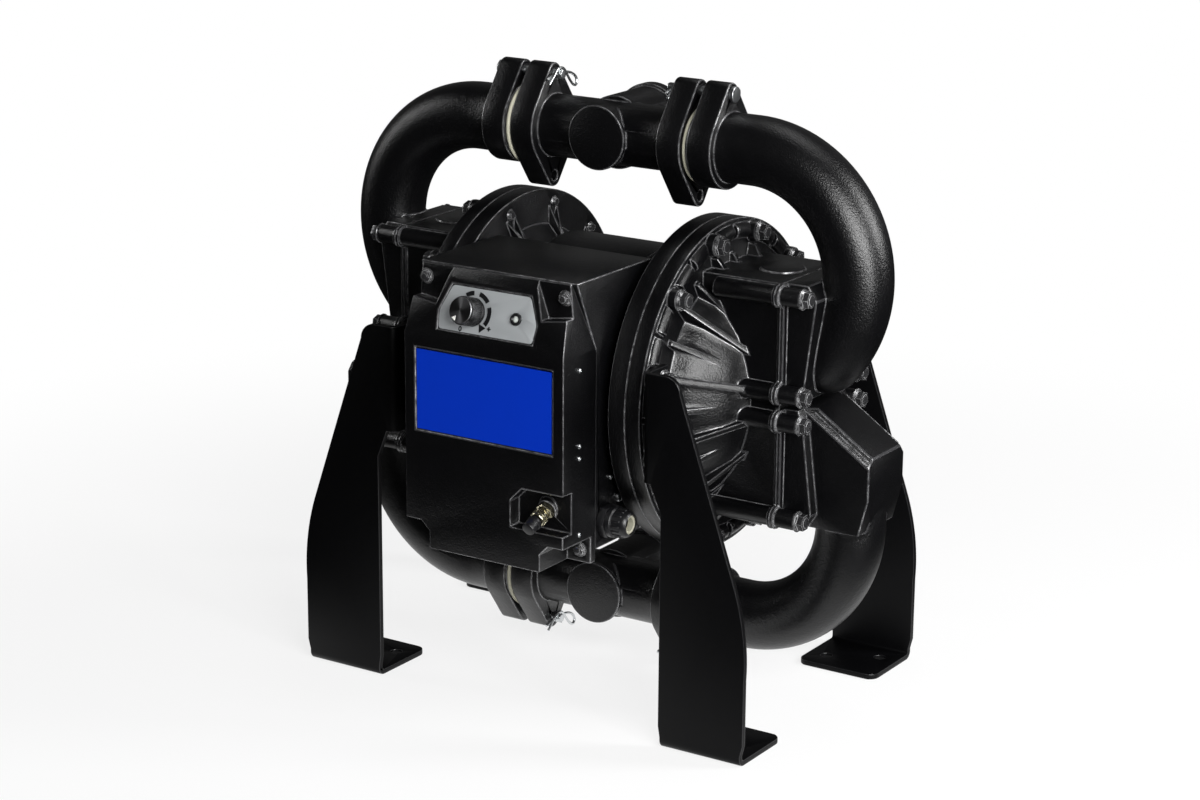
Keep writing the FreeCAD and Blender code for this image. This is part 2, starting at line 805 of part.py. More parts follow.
def make_elbow(label, side):
    elbow = new_body(label)
    centre = f"{side} * manifoldReach"
    add(elbow, "YZ", "jointPlane", elbowPlateStart, [("0", centre, "gasketRadius")])
    add(elbow, "YZ", elbowPlateStart, elbowPlateEnd, [("0", centre, "plateRadius")])
    add(elbow, "YZ", elbowPlateStart, elbowPlateEnd, [lobe_loops(side, side)])
    add(elbow, "YZ", "jointPlane", bendStart, [("0", centre, "tubeRadius")])
    bend("Revolution", elbow, side, "tubeRadius", "90 + bendTail")
    tail_x, tail_z = bend_point(side, "-1 * bendTail")
    ball_end("AdditiveSphere", elbow, tail_x, "0", tail_z, "tubeRadius")
    bottom, top = box_span(side)
    past_split = rectangle("-2 * tubeRadius", "2 * tubeRadius",
                           f"{bottom} - tubeRadius", f"{top} + tubeRadius")
    cut(elbow, "YZ", "splitPlane - tubeRadius", "splitPlane", [past_split])
    low, high = (bottom, top) if side > 0 else (top, bottom)
    neck = [("splitPlane", low), ("elbowBossEnd - neckSetback", low), (tail_x, f"{low} + {side} * neckRise"),
            (f"{tail_x} + neckBulge", f"{high} - {side} * neckShoulder"), ("elbowBossEnd", high),
            ("splitPlane", high)]
    add(elbow, "XZ", "-1 * neckHalfWidth", "neckHalfWidth", [neck])
    add_lips(elbow, "splitPlane", "splitPlane + lipThickness", (side,))
    for y, z in port_bolts(side):
        add(elbow, "YZ", "splitPlane", "elbowBossEnd", [(y, z, "portBossRadius")])
    if side < 0:
        add_hood(elbow)
    cut_elbow_passages(elbow, side)
    cut(elbow, "YZ", elbowPlateStart, elbowPlateEnd,
        [("0", f"{side} * (manifoldReach + lobeReach)", "pinRadius + looseFit")])
    bolts = [(y, z, "boltRadius + looseFit") for y, z in port_bolts(side)]
    cut(elbow, "YZ", "splitPlane", "elbowBossEnd", bolts)
    return elbow


def add_hood(elbow):
    """The angular hood over the inlet valve, with the long edges of its slope bevelled."""
    bottom, top = box_span(-1)
    start = "elbowBossEnd - hoodStart"
    hood = [(start, top), ("elbowBossEnd + hoodBrow", top), ("hoodEndX", f"{top} - hoodDrop"),
            ("hoodEndX", f"{top} - 2 * hoodDrop"), ("bendReach + tubeRadius - hoodHeel", bottom),
            (start, bottom)]
    add(elbow, "XZ", "-1 * hoodHalfWidth", "hoodHalfWidth", [hood])
    round_edges("Chamfer", elbow, "hoodBevel", hood_slope_edge)


def hood_slope_edge(edge):
    """The two long edges of the hood's slope."""
    if not isinstance(edge.Curve, Part.Line):
        return False
    slope = Vector(value("hoodEndX - elbowBossEnd - hoodBrow"), 0, -value("hoodDrop")).normalize()
    on_side = abs(abs(edge.CenterOfMass.y) - value("hoodHalfWidth")) < 0.01
    return on_side and abs(edge.Curve.Direction.dot(slope)) > 0.9999


def cut_elbow_passages(elbow, side):
    """The bore round the bend, the port into the cover and the inlet valve's chamber."""
    cut(elbow, "YZ", "jointPlane", bendStart, [("0", f"{side} * manifoldReach", "tubeBore")])
    cut(elbow, "YZ", "splitPlane", inletValveX, [("0", port_height(side), "tubeBore")])
    if side > 0:
        bend("Groove", elbow, side, "tubeBore", "90 + bendTail / 2")
        return
    bend("Groove", elbow, side, "tubeBore", "90")
    cut(elbow, "XY", f"{inletSeatTop} - seatThickness", f"{inletSeatTop} + {ballStop}",
        [(inletValveX, "0", "seatRadius")])


def make_elbows():
    for name, side in (("outlet", 1), ("inlet", -1)):
        right = make_elbow(f"{name}_elbow_right", side)
        half_turn_twin(right, f"{name}_elbow_left")


# Manifold tees

def make_tee(label, side):
    tee = new_body(label)
    centre = f"{side} * manifoldReach"
    add(tee, "YZ", f"-1 * {teeFace}", teeFace, [("0", centre, "teeTubeRadius")])
    for start, end in ((teePlateStart, teeFace), (f"-1 * {teeFace}", f"-1 * {teePlateStart}")):
        add(tee, "YZ", start, end, [("0", centre, "plateRadius")])
        add(tee, "YZ", start, end, [lobe_loops(side, 1)])
        add(tee, "YZ", start, end, [lobe_loops(side, -1)])
    add(tee, "XZ", "-1 * blindReach + blindRim + 1", "0", [("0", centre, "blindRadius - 2.5")])
    add(tee, "XZ", "-1 * blindReach", "-1 * blindReach + blindRim", [("0", centre, "blindRadius")])
    add(tee, "XZ", "-1 * blindReach + blindRim", "-1 * blindReach + blindRim + 1.5",
        [("0", centre, "blindRadius - 4")])
    add(tee, "XZ", "0", "portReach", [("0", centre, "portBarrel")])
    add(tee, "XZ", "portReach - portRimWidth", "portReach", [("0", centre, "portRim")])
    cut(tee, "YZ", f"-1 * {teeFace}", teeFace, [("0", centre, "tubeBore")])
    cut(tee, "XZ", "0", "portReach - portThreadLength", [("0", centre, "tubeBore")])
    cut(tee, "XZ", "portReach - portThreadLength", "portReach", [("0", centre, "portThread")])
    for reach_side in (-1, 1):
        hole = ("0", f"{centre} + {reach_side} * lobeReach", "pinRadius + looseFit")
        cut(tee, "YZ", f"-1 * {teeFace}", teeFace, [hole])
    return tee


def make_gaskets():
    """One ring between the two plates of each pipe joint."""
    ring = Part.makeCylinder(value("gasketRadius"), value("gasketThickness"), Vector(), Vector(1, 0, 0))
    bore = Part.makeCylinder(value("tubeBore + 1"), value("gasketThickness"), Vector(), Vector(1, 0, 0))
    rings = []
    for side in (-1, 1):
        for hand in (-1, 1):
            start = value(teeFace) if hand > 0 else -value("jointPlane")
            copy = ring.cut(bore)
            copy.translate(Vector(start, 0, side * value("manifoldReach")))
            rings.append(copy)
    group_piece("joint_gaskets", rings)


# Pins and hairpins of the pipe joints

def clevis_pin():
    """A headed pin along X, with its head's seat at the origin and its tail towards the tee."""
    length = value("2 * plateThickness + plateGap + pinTail")
    shank = Part.makeCylinder(value("pinRadius"), length, Vector(-length, 0, 0), Vector(1, 0, 0))
    head = Part.makeCylinder(value("pinHeadRadius"), value("pinHead"), Vector(), Vector(1, 0, 0))
    hole = Part.makeCylinder(value("hairpinWire + runningFit"), value("4 * pinRadius"),
                             Vector(hairpin_reach(), -value("2 * pinRadius"), 0), Vector(0, 1, 0))
    return shank.fuse(head).cut(hole).removeSplitter()


def hairpin_reach():
    """How far the hairpin's hole lies from the seat of the pin's head."""
    return -value("2 * plateThickness + plateGap + hairpinWire + 2")


def hairpin():
    """A bent wire clip: one straight leg through the pin and one that rides over it."""
    over = value("pinRadius + hairpinWire + softGap")
    near = value("-3 * pinRadius")
    far = value("4 * pinRadius")
    corners = [Vector(0, near, 0), Vector(0, far, 0), Vector(0, far, over), Vector(0, near / 2, over),
               Vector(0, near, 2 * over)]
    ring = Part.Wire([Part.makeCircle(value("hairpinWire"), corners[0], Vector(0, 1, 0))])
    right_corners = 1
    return Part.makePolygon(corners).makePipeShell([ring], True, False, right_corners)


def joint_places():
    """Seat and turn of each pipe joint's pin, on the lobe that points away from the pump."""
    places = []
    for side in (-1, 1):
        height = side * value("manifoldReach + lobeReach")
        places.append(Placement(Vector(value(elbowPlateEnd), 0, height), Rotation()))
        places.append(Placement(Vector(-value(elbowPlateEnd), 0, height), Rotation(Vector(0, 0, 1), 180)))
    return places


def placed(shape, place):
    copy = shape.copy()
    copy.Placement = place.multiply(copy.Placement)
    return copy


def make_pins():
    group_piece("clevis_pins", [placed(clevis_pin(), place) for place in joint_places()])
    reach = Placement(Vector(hairpin_reach(), 0, 0), Rotation())
    group_piece("hairpin_clips", [placed(hairpin(), place.multiply(reach)) for place in joint_places()])


# Bolts

def hex_bolt(length, flats="boltFlats", height="boltHead", radius="boltRadius"):
    """A hexagon bolt along X, with its seat at the origin and its shank towards -X."""
    corner = value(f"{flats} / sqrt(3)")
    turns = [math.radians(60 * side) for side in range(7)]
    points = [Vector(0, corner * math.cos(turn), corner * math.sin(turn)) for turn in turns]
    head = Part.Face(Part.makePolygon(points)).extrude(Vector(value(height), 0, 0))
    shank = Part.makeCylinder(value(radius), length, Vector(-length, 0, 0), Vector(1, 0, 0))
    return head.fuse(shank)


def ring_angles(leg_bolts):
    """Angles of the flange bolts from the top, split between the legs' bolts and the others."""
    count = int(value("boltCount"))
    angles = [360 / count * (step + 0.5) for step in range(count)]
    return [angle for angle in angles if held_by_leg(angle) == leg_bolts]


def held_by_leg(angle):
    height = value("boltCircle") * math.cos(math.radians(angle))
    return abs(height) < value("tabDrop")


def flange_bolts(hand, seat, leg_bolts):
    bolts = []
    for angle in ring_angles(leg_bolts):
        length = seat - value(flangeBack) + value("boltTail")
        turn_round = Rotation(Vector(1, 0, 0), -angle)
        spot = turn_round.multVec(Vector(0, 0, value("boltCircle")))
        flip = Rotation(Vector(0, 0, 1), 0 if hand > 0 else 180)
        bolts.append(placed(hex_bolt(length), Placement(Vector(hand * seat, spot.y, spot.z), flip)))
    return bolts


def make_bolts():
    seat = value(bossTop)
    group_piece("flange_bolts_right", flange_bolts(1, seat, False))
    group_piece("flange_bolts_left", flange_bolts(-1, seat, False))
    leg_seat = seat + value("legSheet")
    group_piece("leg_bolts", flange_bolts(1, leg_seat, True) + flange_bolts(-1, leg_seat, True))
    elbow_bolts = []
    for hand in (-1, 1):
        for side in (-1, 1):
            for y, z in port_bolts(side):
                place = Placement(Vector(hand * value("elbowBossEnd"), value(y), value(z)),
                                  Rotation(Vector(0, 0, 1), 0 if hand > 0 else 180))
                length = value("elbowBossEnd - splitPlane + boltDepth - looseFit")
                elbow_bolts.append(placed(hex_bolt(length), place))
    group_piece("elbow_bolts", elbow_bolts)


# Valves

def make_seat(label, x, z):
    seat = new_body(label)
    bottom = f"{z} - seatThickness"
    ring = [(f"{x}", "0", "seatRadius - runningFit"), (f"{x}", "0", "seatBore - 1")]
    add(seat, "XY", bottom, z, ring)
    return seat


def make_ball(label, x, seat_top):
    """A ball that rests on the inner edge of its seat."""
    ball = new_body(label)
    ball_end("AdditiveSphere", ball, x, "0", f"{seat_top} + {ballRise}", "ballRadius")
    return ball


def make_valves():
    seats = [("outlet_seat", "outletValveX", outletSeatTop), ("inlet_seat", inletValveX, inletSeatTop)]
    for name, x, top in seats:
        right = make_seat(f"{name}_right", x, top)
        half_turn_twin(right, f"{name}_left")
        ball_name = name.replace("seat", "ball")
        ball = make_ball(f"{ball_name}_right", x, top)
        half_turn_twin(ball, f"{ball_name}_left")


# Inner covers and centre housing

def make_inner_cover():
    cover = new_body("inner_cover_right")
    bearing_start = f"{bushStart} - bearingWidth"
    shell = [(bearing_start, "bearingSeat"), (bearing_start, "bearingSeat + bearingWall"),
             ("hubEnd", "bearingSeat + bearingWall"), ("hubEnd", "hubRadius"), (flangeBack, "hubFoot"),
             (flangeBack, "flangeRadius"), ("rimPlane", "flangeRadius"), ("rimPlane", "beadRadius"),
             (innerBead, "beadRadius"), (innerBead, "domeFoot"),
             (f"{innerBead} - cavityBevel", "domeFoot - cavityBevel"),
             (hubFloor, "plateRadiusInner + plateRoom"), (hubFloor, "bushRadius"),
             (bushStart, "bushRadius"), (bushStart, "bearingSeat")]
    turn(cover, [shell])
    for side in (-1, 1):
        add_webs(cover, side)
    hole = cut(cover, "YZ", flangeBack, "rimPlane", [(boltY, boltZ, "boltRadius + looseFit")])
    repeat_round(cover, [hole], "boltCount")
    half_turn_twin(cover, "inner_cover_left")


def web_line():
    """The free edge of a web, from the hub up to the flange."""
    return [("hubEnd", "hubRadius + webHeight"), (f"{flangeBack} - webRoot", "boltCircle - webInset")]


def add_webs(cover, side):
    """Thin webs that leave the hub in pairs and part towards the flange, one on each side of a bolt."""
    low, high = web_line()
    web = [(f"{flangeBack} + webRoot", "boltCircle - webInset"), high, low,
           ("hubEnd", "hubRadius - webHeight"), (f"{flangeBack} + webRoot", "hubFoot - 2 * webHeight")]
    middle = f"({side} * {webOffset})"
    start = f"({middle} - webThickness / 2)"
    first = add(cover, "XZ", start, f"({middle} + webThickness / 2)", [web])
    turn_to_bolt(first, start, f"{side} * webLean")
    repeat_round(cover, [first], "boltCount")


def make_housing():
    housing = new_body("centre_housing")
    barrel = [("-1 * hubEnd", "0"), ("-1 * hubEnd", "hubRadius"), ("-1 * barrelHalf", "barrelRadius"),
              ("barrelHalf", "barrelRadius"), ("hubEnd", "hubRadius"), ("hubEnd", "0")]
    turn(housing, [barrel])
    side_view = [("partingFront", "housingBottom"), ("housingBack", "housingBottom"),
                 ("housingBack", "housingTop"), ("partingTop", "housingTop"), ("partingFront", "partingBend")]
    add(housing, "YZ", f"-1 * {housingHalf}", housingHalf, [side_view])
    turn_out(housing, [rectangle("-1 * hubEnd", "hubEnd", "0", "statorRadius")])
    for side in (-1, 1):
        clear_inner_cover(housing, side)
    cut(housing, "XZ", "partingFront", "bayBack", [rectangle("-1 * bayHalf", "bayHalf", bayBottom, bayTop)])
    cut(housing, "YZ", "bayHalf", housingHalf, [("glandY", "glandZ", "glandThread + runningFit")])
    for seat, holes in corner_bolt_holes("cornerBoltRadius + runningFit"):
        cut(housing, "XZ", "coverFront", f"{seat} + cornerBoltDepth + looseFit", holes)
    return housing


def clear_inner_cover(housing, side):
    """Cut back the box where it overhangs the webs of an inner cover, which stand beside the radius."""
    edge = [(x, f"sqrt(({height}) ^ 2 + ({webOffset} + webThickness / 2) ^ 2) + looseFit")
            for x, height in web_line()]
    outline = [(edge[0][0], "0"), *edge, (edge[1][0], "0")]
    turn_out(housing, [[(f"{side} * ({x})", radius) for x, radius in outline]])


def corner_bolt_holes(radius):
    """Seat and holes of the control cover's corner bolts, first the upper pair and then the lower."""
    pairs = [(topBoltSeat, "cornerBoltTop"), (bottomBoltSeat, "cornerBoltBottom")]
    return [(seat, [(f"{hand} * cornerBoltX", height, radius) for hand in (-1, 1)]) for seat, height in pairs]


# Drive

def make_drive():
    rotor = new_body("rotor")
    half = "rotorHalf"
    shaft_end = f"({bushStart} - 2)"
    profile = [(f"-1 * ({shaft_end})", "rodRadius + 2"), (f"-1 * ({shaft_end})", "rotorShaft"),
               (f"-1 * {half}", "rotorShaft"), (f"-1 * {half}", "rotorRadius"), (half, "rotorRadius"),
               (half, "rotorShaft"), (shaft_end, "rotorShaft"), (shaft_end, "rodRadius + 2"),
               ("rotorHalf / 2", "rodRadius + 2"), ("rotorHalf / 2", "rodRadius + runningFit"),
               ("-1 * rotorHalf / 2", "rodRadius + runningFit"), ("-1 * rotorHalf / 2", "rodRadius + 2")]
    turn(rotor, [profile])
    stator = new_body("stator")
    inner = "rotorRadius + airGap"
    windings = [(f"-1 * {half}", inner), (f"-1 * {half}", f"{inner} + 4"),
                ("-1 * windingHalf", f"{inner} + 4"),
                ("-1 * windingHalf", "windingRadius"), (f"-1 * {half}", "windingRadius"),
                (f"-1 * {half}", "statorRadius"), (half, "statorRadius"), (half, "windingRadius"),
                ("windingHalf", "windingRadius"), ("windingHalf", f"{inner} + 4"), (half, f"{inner} + 4"),
                (half, inner)]
    turn(stator, [windings])
    rod = new_body("screw_rod")
    shoulder = f"rimPlane - diaphragmHub / 2 - innerPlate"
    stud_end = "rimPlane + diaphragmHub / 2 + outerPlate + studReach"
    rod_profile = [(f"-1 * ({stud_end})", "0"), (f"-1 * ({stud_end})", "studRadius"),
                   (f"-1 * ({shoulder})", "studRadius"), (f"-1 * ({shoulder})", "rodRadius"),
                   (shoulder, "rodRadius"), (shoulder, "studRadius"), (stud_end, "studRadius"),
                   (stud_end, "0")]
    turn(rod, [rod_profile])
    bearing_start = f"{bushStart} - bearingWidth"
    make_ring("rotor_bearing", bearing_start, bushStart, "rotorShaft + runningFit", "bearingSeat")
    make_ring("rod_bush", bushStart, hubFloor, "rodRadius + runningFit", "bushRadius")
    make_plates()


def make_ring(name, start, end, bore, radius):
    ring = new_body(f"{name}_right")
    turn(ring, [rectangle(start, end, bore, radius)])
    half_turn_twin(ring, f"{name}_left")


def make_plates():
    hub = "rimPlane - diaphragmHub / 2"
    inner = new_body("inner_plate_right")
    back = f"{hub} - innerPlate"
    turn(inner, [[(back, "studRadius"), (back, "plateRadiusInner - plateSlope"),
                  (f"{hub} - innerPlate / 2", "plateRadiusInner"), (hub, "plateRadiusInner"),
                  (hub, "studRadius")]])
    half_turn_twin(inner, "inner_plate_left")
    face = "rimPlane + diaphragmHub / 2"
    crown = f"{face} + outerPlate + plateCrown"
    outer = new_body("fluid_plate_right")
    turn(outer, [[(face, "0"), (face, "studRadius"), (face, "plateRadiusInner"),
                  (f"{face} + outerPlate / 3", "plateRadiusInner"),
                  (f"{face} + outerPlate", "crownFoot"), (crown, "crownTop"), (crown, "0")]])
    turn_out(outer, [rectangle(face, f"{face} + outerPlate + studReach", "0", "studRadius")])
    half_turn_twin(outer, "fluid_plate_left")


def make_diaphragm():
    diaphragm = new_body("diaphragm_right")
    hub = "diaphragmHub / 2"
    roll = "(plateRadiusInner + domeFoot) / 2"
    fold = "(plateRadiusInner + foldGap)"
    profile = [(f"rimPlane - {hub}", "studRadius + softGap"), (f"rimPlane - {hub}", fold),
               ("rimPlane + rollHeight", roll), (innerBead, "domeFoot - foldGap"), (innerBead, "beadRadius"),
               (coverBead, "beadRadius"), (coverBead, "domeFoot - 2 * foldGap"),
               ("rimPlane + rollHeight + rollThickness", roll),
               (f"rimPlane + {hub}", fold), (f"rimPlane + {hub}", "studRadius + softGap")]
    turn(diaphragm, [profile])
    half_turn_twin(diaphragm, "diaphragm_left")


# Control cover and what it carries

def console_place(body_height="axisHeight"):
    """The frame of the sloping console: X along the pump, Y up the slope and Z out of it."""
    foot = Vector(0, value("coverFront"), value(f"{body_height} + consoleFoot"))
    return Placement(foot, Rotation(Vector(1, 0, 0), 90 - value("consoleTilt")))


def console_body(label):
    body = new_body(label)
    body.setExpression(".Placement.Base.z", None)
    body.Placement = console_place()
    return body


def console_cut(cover, depth, loops):
    """Cut straight into the console, from its surface inwards."""
    sketch = place_sketch(cover, "XY", "0")
    sketch.setExpression(".AttachmentOffset.Base.z", None)
    sketch.AttachmentOffset = console_place("0")
    draw(sketch, loops)
    pocket = cover.newObject("PartDesign::Pocket", "Pocket")
    pocket.Profile = sketch
    bind(pocket, Length=depth)
    return pocket


def panel_outline(grow="0"):
    """The panel's six-sided outline: narrow at the top and widest at mid height."""
    right = [(f"panelLowHalf + {grow}", f"panelLow - {grow}"), (f"panelWideHalf + {grow}", "panelWideHeight"),
             (f"panelTopHalf + {grow}", f"panelTop + {grow}")]
    left = [(f"-1 * ({x})", v) for x, v in reversed(right)]
    return right + left


def make_control_cover():
    cover = new_body("control_cover")
    outline = [(f"-1 * {coverHalf}", "coverBottom"), (coverHalf, "coverBottom"), (coverHalf, "consoleFoot"),
               ("coverTopHalf", "housingTop"), ("-1 * coverTopHalf", "housingTop"),
               (f"-1 * {coverHalf}", "consoleFoot")]
    add(cover, "XZ", "coverFront", coverBack, [outline])
    reach = f"({coverHalf} + cutPast)"
    above = "(housingTop + cutPast)"
    before = "(coverFront - cutPast)"
    behind = f"({coverBack} + cutPast)"
    wedge = [("coverFront", "consoleFoot"), (slope_at(above), above), (before, above),
             (before, "consoleFoot")]
    parting = [(behind, "partingBend"), (behind, above), (coverBackTop, above), (coverBackTop, "housingTop"),
               (coverBack, "partingBend")]
    brow_end = f"{coverBackTop} - browEdge"
    brow = [(slope_at("consoleTop"), "consoleTop"), (before, "consoleTop"), (before, above),
            (brow_end, above), (brow_end, "housingTop")]
    for profile in (wedge, parting, brow):
        cut(cover, "YZ", f"-1 * {reach}", reach, [profile])
    hollow_cover(cover)
    cut_corner_notches(cover)
    plate = rectangle("-1 * plateHalfX - plateMargin", "plateHalfX + plateMargin",
                      "plateBottom - plateMargin", "plateTop + plateMargin")
    cut(cover, "XZ", "coverFront", "coverFront + plateSheet + plateRecess", [plate])
    scoop = [("scoopLeft", "scoopTop - scoopCorner"), ("scoopLeft + scoopCorner", "scoopTop"),
             (reach, "scoopTop"), (reach, "scoopBottom"), ("scoopLeft", "scoopBottom")]
    cut(cover, "XZ", "coverFront", "coverFront + scoopDepth", [scoop])
    add_plug_boss(cover)
    console_cut(cover, "plateSheet + plateRecess", [panel_outline("panelGroove")])
    console_cut(cover, "consoleWall + dialDepth",
                [("knobX", "knobV", "2 * shaftRadius"), ("lightX", "knobV", "lightRadius")])
    return cover


def slope_at(height, depth="0"):
    """Where the sloping console, or a face behind it, stands at a height."""
    lean = f"({height} - consoleFoot) * tan(consoleTilt * 1deg)"
    return f"(coverFront + {lean} + {depth} / cos(consoleTilt * 1deg))"


def hollow_cover(cover):
    """The room behind the front wall and, up to the brow, behind the sloping console."""
    inner = f"({coverHalf} - coverWall)"
    left = f"-1 * ({coverHalf} - notchHalf - coverWall)"
    right = "(scoopLeft - coverWall)"
    waist = "(scoopTop + 2 * coverWall)"
    floor = "(coverBottom + notchHalf + coverWall)"
    ceiling = "(consoleFoot - coverWall)"
    low = [(f"-1 * {inner}", waist), (f"-1 * {inner}", ceiling), (inner, ceiling), (inner, waist),
           (right, waist), (right, floor), (left, floor), (left, waist)]
    cut(cover, "XZ", "coverFront + coverWall", coverBack, [low])
    foot = "(consoleFoot - coverWall - cutPast)"
    top = "(topNotchZ + coverWall)"
    behind = f"({coverBack} + cutPast)"
    high = [(slope_at(foot, "consoleWall"), foot), (slope_at(top, "consoleWall"), top), (behind, top),
            (behind, foot)]
    half = "(topNotchX - coverWall)"
    cut(cover, "YZ", f"-1 * {half}", half, [high])


def cut_corner_notches(cover):
    """Recesses that leave a flange at each corner for its bolt."""
    below, above = "coverBottom - cutPast", "housingTop + cutPast"
    for hand in (-1, 1):
        outer = f"{hand} * ({coverHalf} + cutPast)"
        inner = f"{hand} * ({coverHalf} - notchHalf"
        roof = "coverBottom + notchHalf"
        low = [(outer, below), (outer, roof), (f"{inner} + notchCorner)", roof),
               (f"{inner})", f"{roof} - notchCorner"), (f"{inner})", below)]
        cut(cover, "XZ", "coverFront - cutPast", bottomBoltSeat, [low])
        high = [(f"{hand} * topNotchX", above), (f"{hand} * topNotchFoot", "topNotchZ"),
                (outer, "topNotchZ + topNotchRise"), (outer, above)]
        cut(cover, "XZ", "coverFront - cutPast", topBoltSeat, [high])
    for seat, holes in corner_bolt_holes("cornerBoltRadius + looseFit"):
        cut(cover, "XZ", seat, "partingFront", holes)


def add_plug_boss(cover):
    """A round boss, square to the tilted connector, on the floor of the scoop."""
    sketch = place_sketch(cover, "XY", "0")
    sketch.setExpression(".AttachmentOffset.Base.z", None)
    root = Placement(Vector(0, 0, value("-2 * plugStand")), Rotation())
    sketch.AttachmentOffset = plug_place("0").multiply(root)
    draw_circle(sketch, "0", "0", "plugBoss")
    boss = cover.newObject("PartDesign::Pad", "Pad")
    boss.Profile = sketch
    bind(boss, Length="3 * plugStand")
    return boss


def make_panel():
    panel = console_body("control_panel")
    openings = [("knobX", "knobV", "2 * shaftRadius"), ("lightX", "knobV", "lightRadius")]
    add(panel, "XY", "-1 * (plateRecess + plateSheet)", "-1 * plateRecess", [panel_outline()] + openings)
    knob = console_body("speed_knob")
    step = "(knobHeight - knobStep)"
    add(knob, "XY", "softGap", step, [("knobX", "knobV", "knobRadius")])
    add(knob, "XY", step, "knobHeight", [("knobX", "knobV", "knobRadius - knobStep")])
    cut(knob, "XY", "softGap", "shaftEnd", [("knobX", "knobV", "shaftRadius")])
    shaft = console_body("knob_shaft")
    add(shaft, "XY", "-1 * (consoleWall + shaftDepth)", "shaftEnd", [("knobX", "knobV", "shaftRadius")])
    dial = console_body("speed_control")
    add(dial, "XY", "-1 * (consoleWall + dialDepth)", "-1 * consoleWall", [("knobX", "knobV", "dialRadius")])
    cut(dial, "XY", "-1 * (consoleWall + shaftDepth + runningFit)", "-1 * consoleWall",
        [("knobX", "knobV", "shaftRadius + runningFit")])
    light = console_body("status_light")
    add(light, "XY", "-1 * (consoleWall + lightDepth)", "lightStand",
        [("lightX", "knobV", "lightRadius - runningFit")])


def make_name_plate():
    plate = new_body("front_plate")
    add(plate, "XZ", "coverFront + plateRecess", "coverFront + plateRecess + plateSheet",
        [rectangle("-1 * plateHalfX", "plateHalfX", "plateBottom", "plateTop")])


def make_cover_seal():
    seal = new_body("cover_gasket")
    bottom = "cornerBoltBottom + 2 * cornerBoltRadius"
    outer = rectangle(f"-1 * {housingHalf} + sealInset", f"{housingHalf} - sealInset", bottom,
                      "partingBend - sealInset")
    inner = rectangle("-1 * bayHalf", "bayHalf", bayBottom, bayTop)
    add(seal, "XZ", coverBack, "partingFront", [outer, inner])


def make_board():
    """A board on four posts in the housing's bay, with three tall components."""
    board = new_body("circuit_board")
    back = "(bayBack - boardStand)"
    front = f"({back} - boardThickness)"
    half = "(bayHalf - boardMargin)"
    bottom = f"({bayBottom} + boardMargin)"
    top = f"({bayTop} - boardMargin)"
    add(board, "XZ", front, back, [rectangle(f"-1 * {half}", half, bottom, top)])
    posts = [(f"{hand} * ({half} - 2 * postRadius)", z, "postRadius")
             for hand in (-1, 1) for z in (f"{bottom} + 2 * postRadius", f"{top} - 2 * postRadius")]
    add(board, "XZ", back, "bayBack", posts)
    row = f"({bottom} + 2 * chipGap)"
    corners = [("-1 * (chipGap / 2 + chipSide)", row), ("chipGap / 2", row),
               ("-1 * chipSide / 2", f"{row} + chipSide + chipGap")]
    for left, low in corners:
        chip = rectangle(left, f"{left} + chipSide", low, f"{low} + chipSide")
        add(board, "XZ", f"{front} - chipHeight", front, [chip])


def make_gland():
    """A cable gland in the side of the housing: threaded body, clamping nut and rubber seal."""
    centre = ("glandY", "glandZ")
    nut_start = f"({housingHalf} + glandHex)"
    nut_step = f"({nut_start} + glandNeck)"
    nut_end = f"({nut_start} + glandNut)"
    gland = new_body("gland_body")
    add(gland, "YZ", "bayHalf", housingHalf, [(*centre, "glandThread")])
    add(gland, "YZ", housingHalf, nut_start, [hexagon("glandFlats", *centre)])
    add(gland, "YZ", nut_start, nut_step, [(*centre, "glandThread")])
    cut(gland, "YZ", "bayHalf", nut_step, [(*centre, "cableRadius + glandStep")])
    nut = new_body("gland_nut")
    add(nut, "YZ", nut_start, nut_step, [hexagon("glandFlats - glandStep", *centre)])
    add(nut, "YZ", nut_step, nut_end, [(*centre, "glandFlats / 2 - glandStep")])
    cut(nut, "YZ", nut_start, nut_step, [(*centre, "glandThread + runningFit")])
    cut(nut, "YZ", nut_step, nut_end, [(*centre, "cableRadius + sealWall + runningFit")])
    seal = new_body("gland_seal")
    add(seal, "YZ", nut_step, f"{nut_end} - sealRecess",
        [(*centre, "cableRadius + sealWall"), (*centre, "cableRadius")])


def plug_place(body_height="axisHeight"):
    """The frame of the tilted connector: Z runs out of the cover."""
    foot = Vector(value("plugX"), value("coverFront + scoopDepth"), value(f"{body_height} + plugZ"))
    return Placement(foot, Rotation(Vector(1, 0, 0), 90 + value("plugTilt")))


def plug_body(label):
    body = new_body(label)
    body.setExpression(".Placement.Base.z", None)
    body.Placement = plug_place()
    return body


def make_connector():
    nut = plug_body("connector_nut")
    stem = "(plugStand + plugNut)"
    cap_start = f"({stem} + plugStem)"
    add(nut, "XY", "plugStand", stem, [hexagon("plugFlats")])
    add(nut, "XY", stem, cap_start, [("0", "0", "plugStemRadius")])
    cap = plug_body("connector_cap")
    add(cap, "XY", cap_start, f"{cap_start} + plugCap", [("0", "0", "plugCapRadius")])


def screw_head(hand, radius, height, x, y, z):
    """A round head along X that stands on a side wall: hand is 1 on the right and -1 on the left."""
    seat = Vector(hand * value(x), value(y), value(z))
    return Part.makeCylinder(value(radius), value(height), seat, Vector(hand, 0, 0))


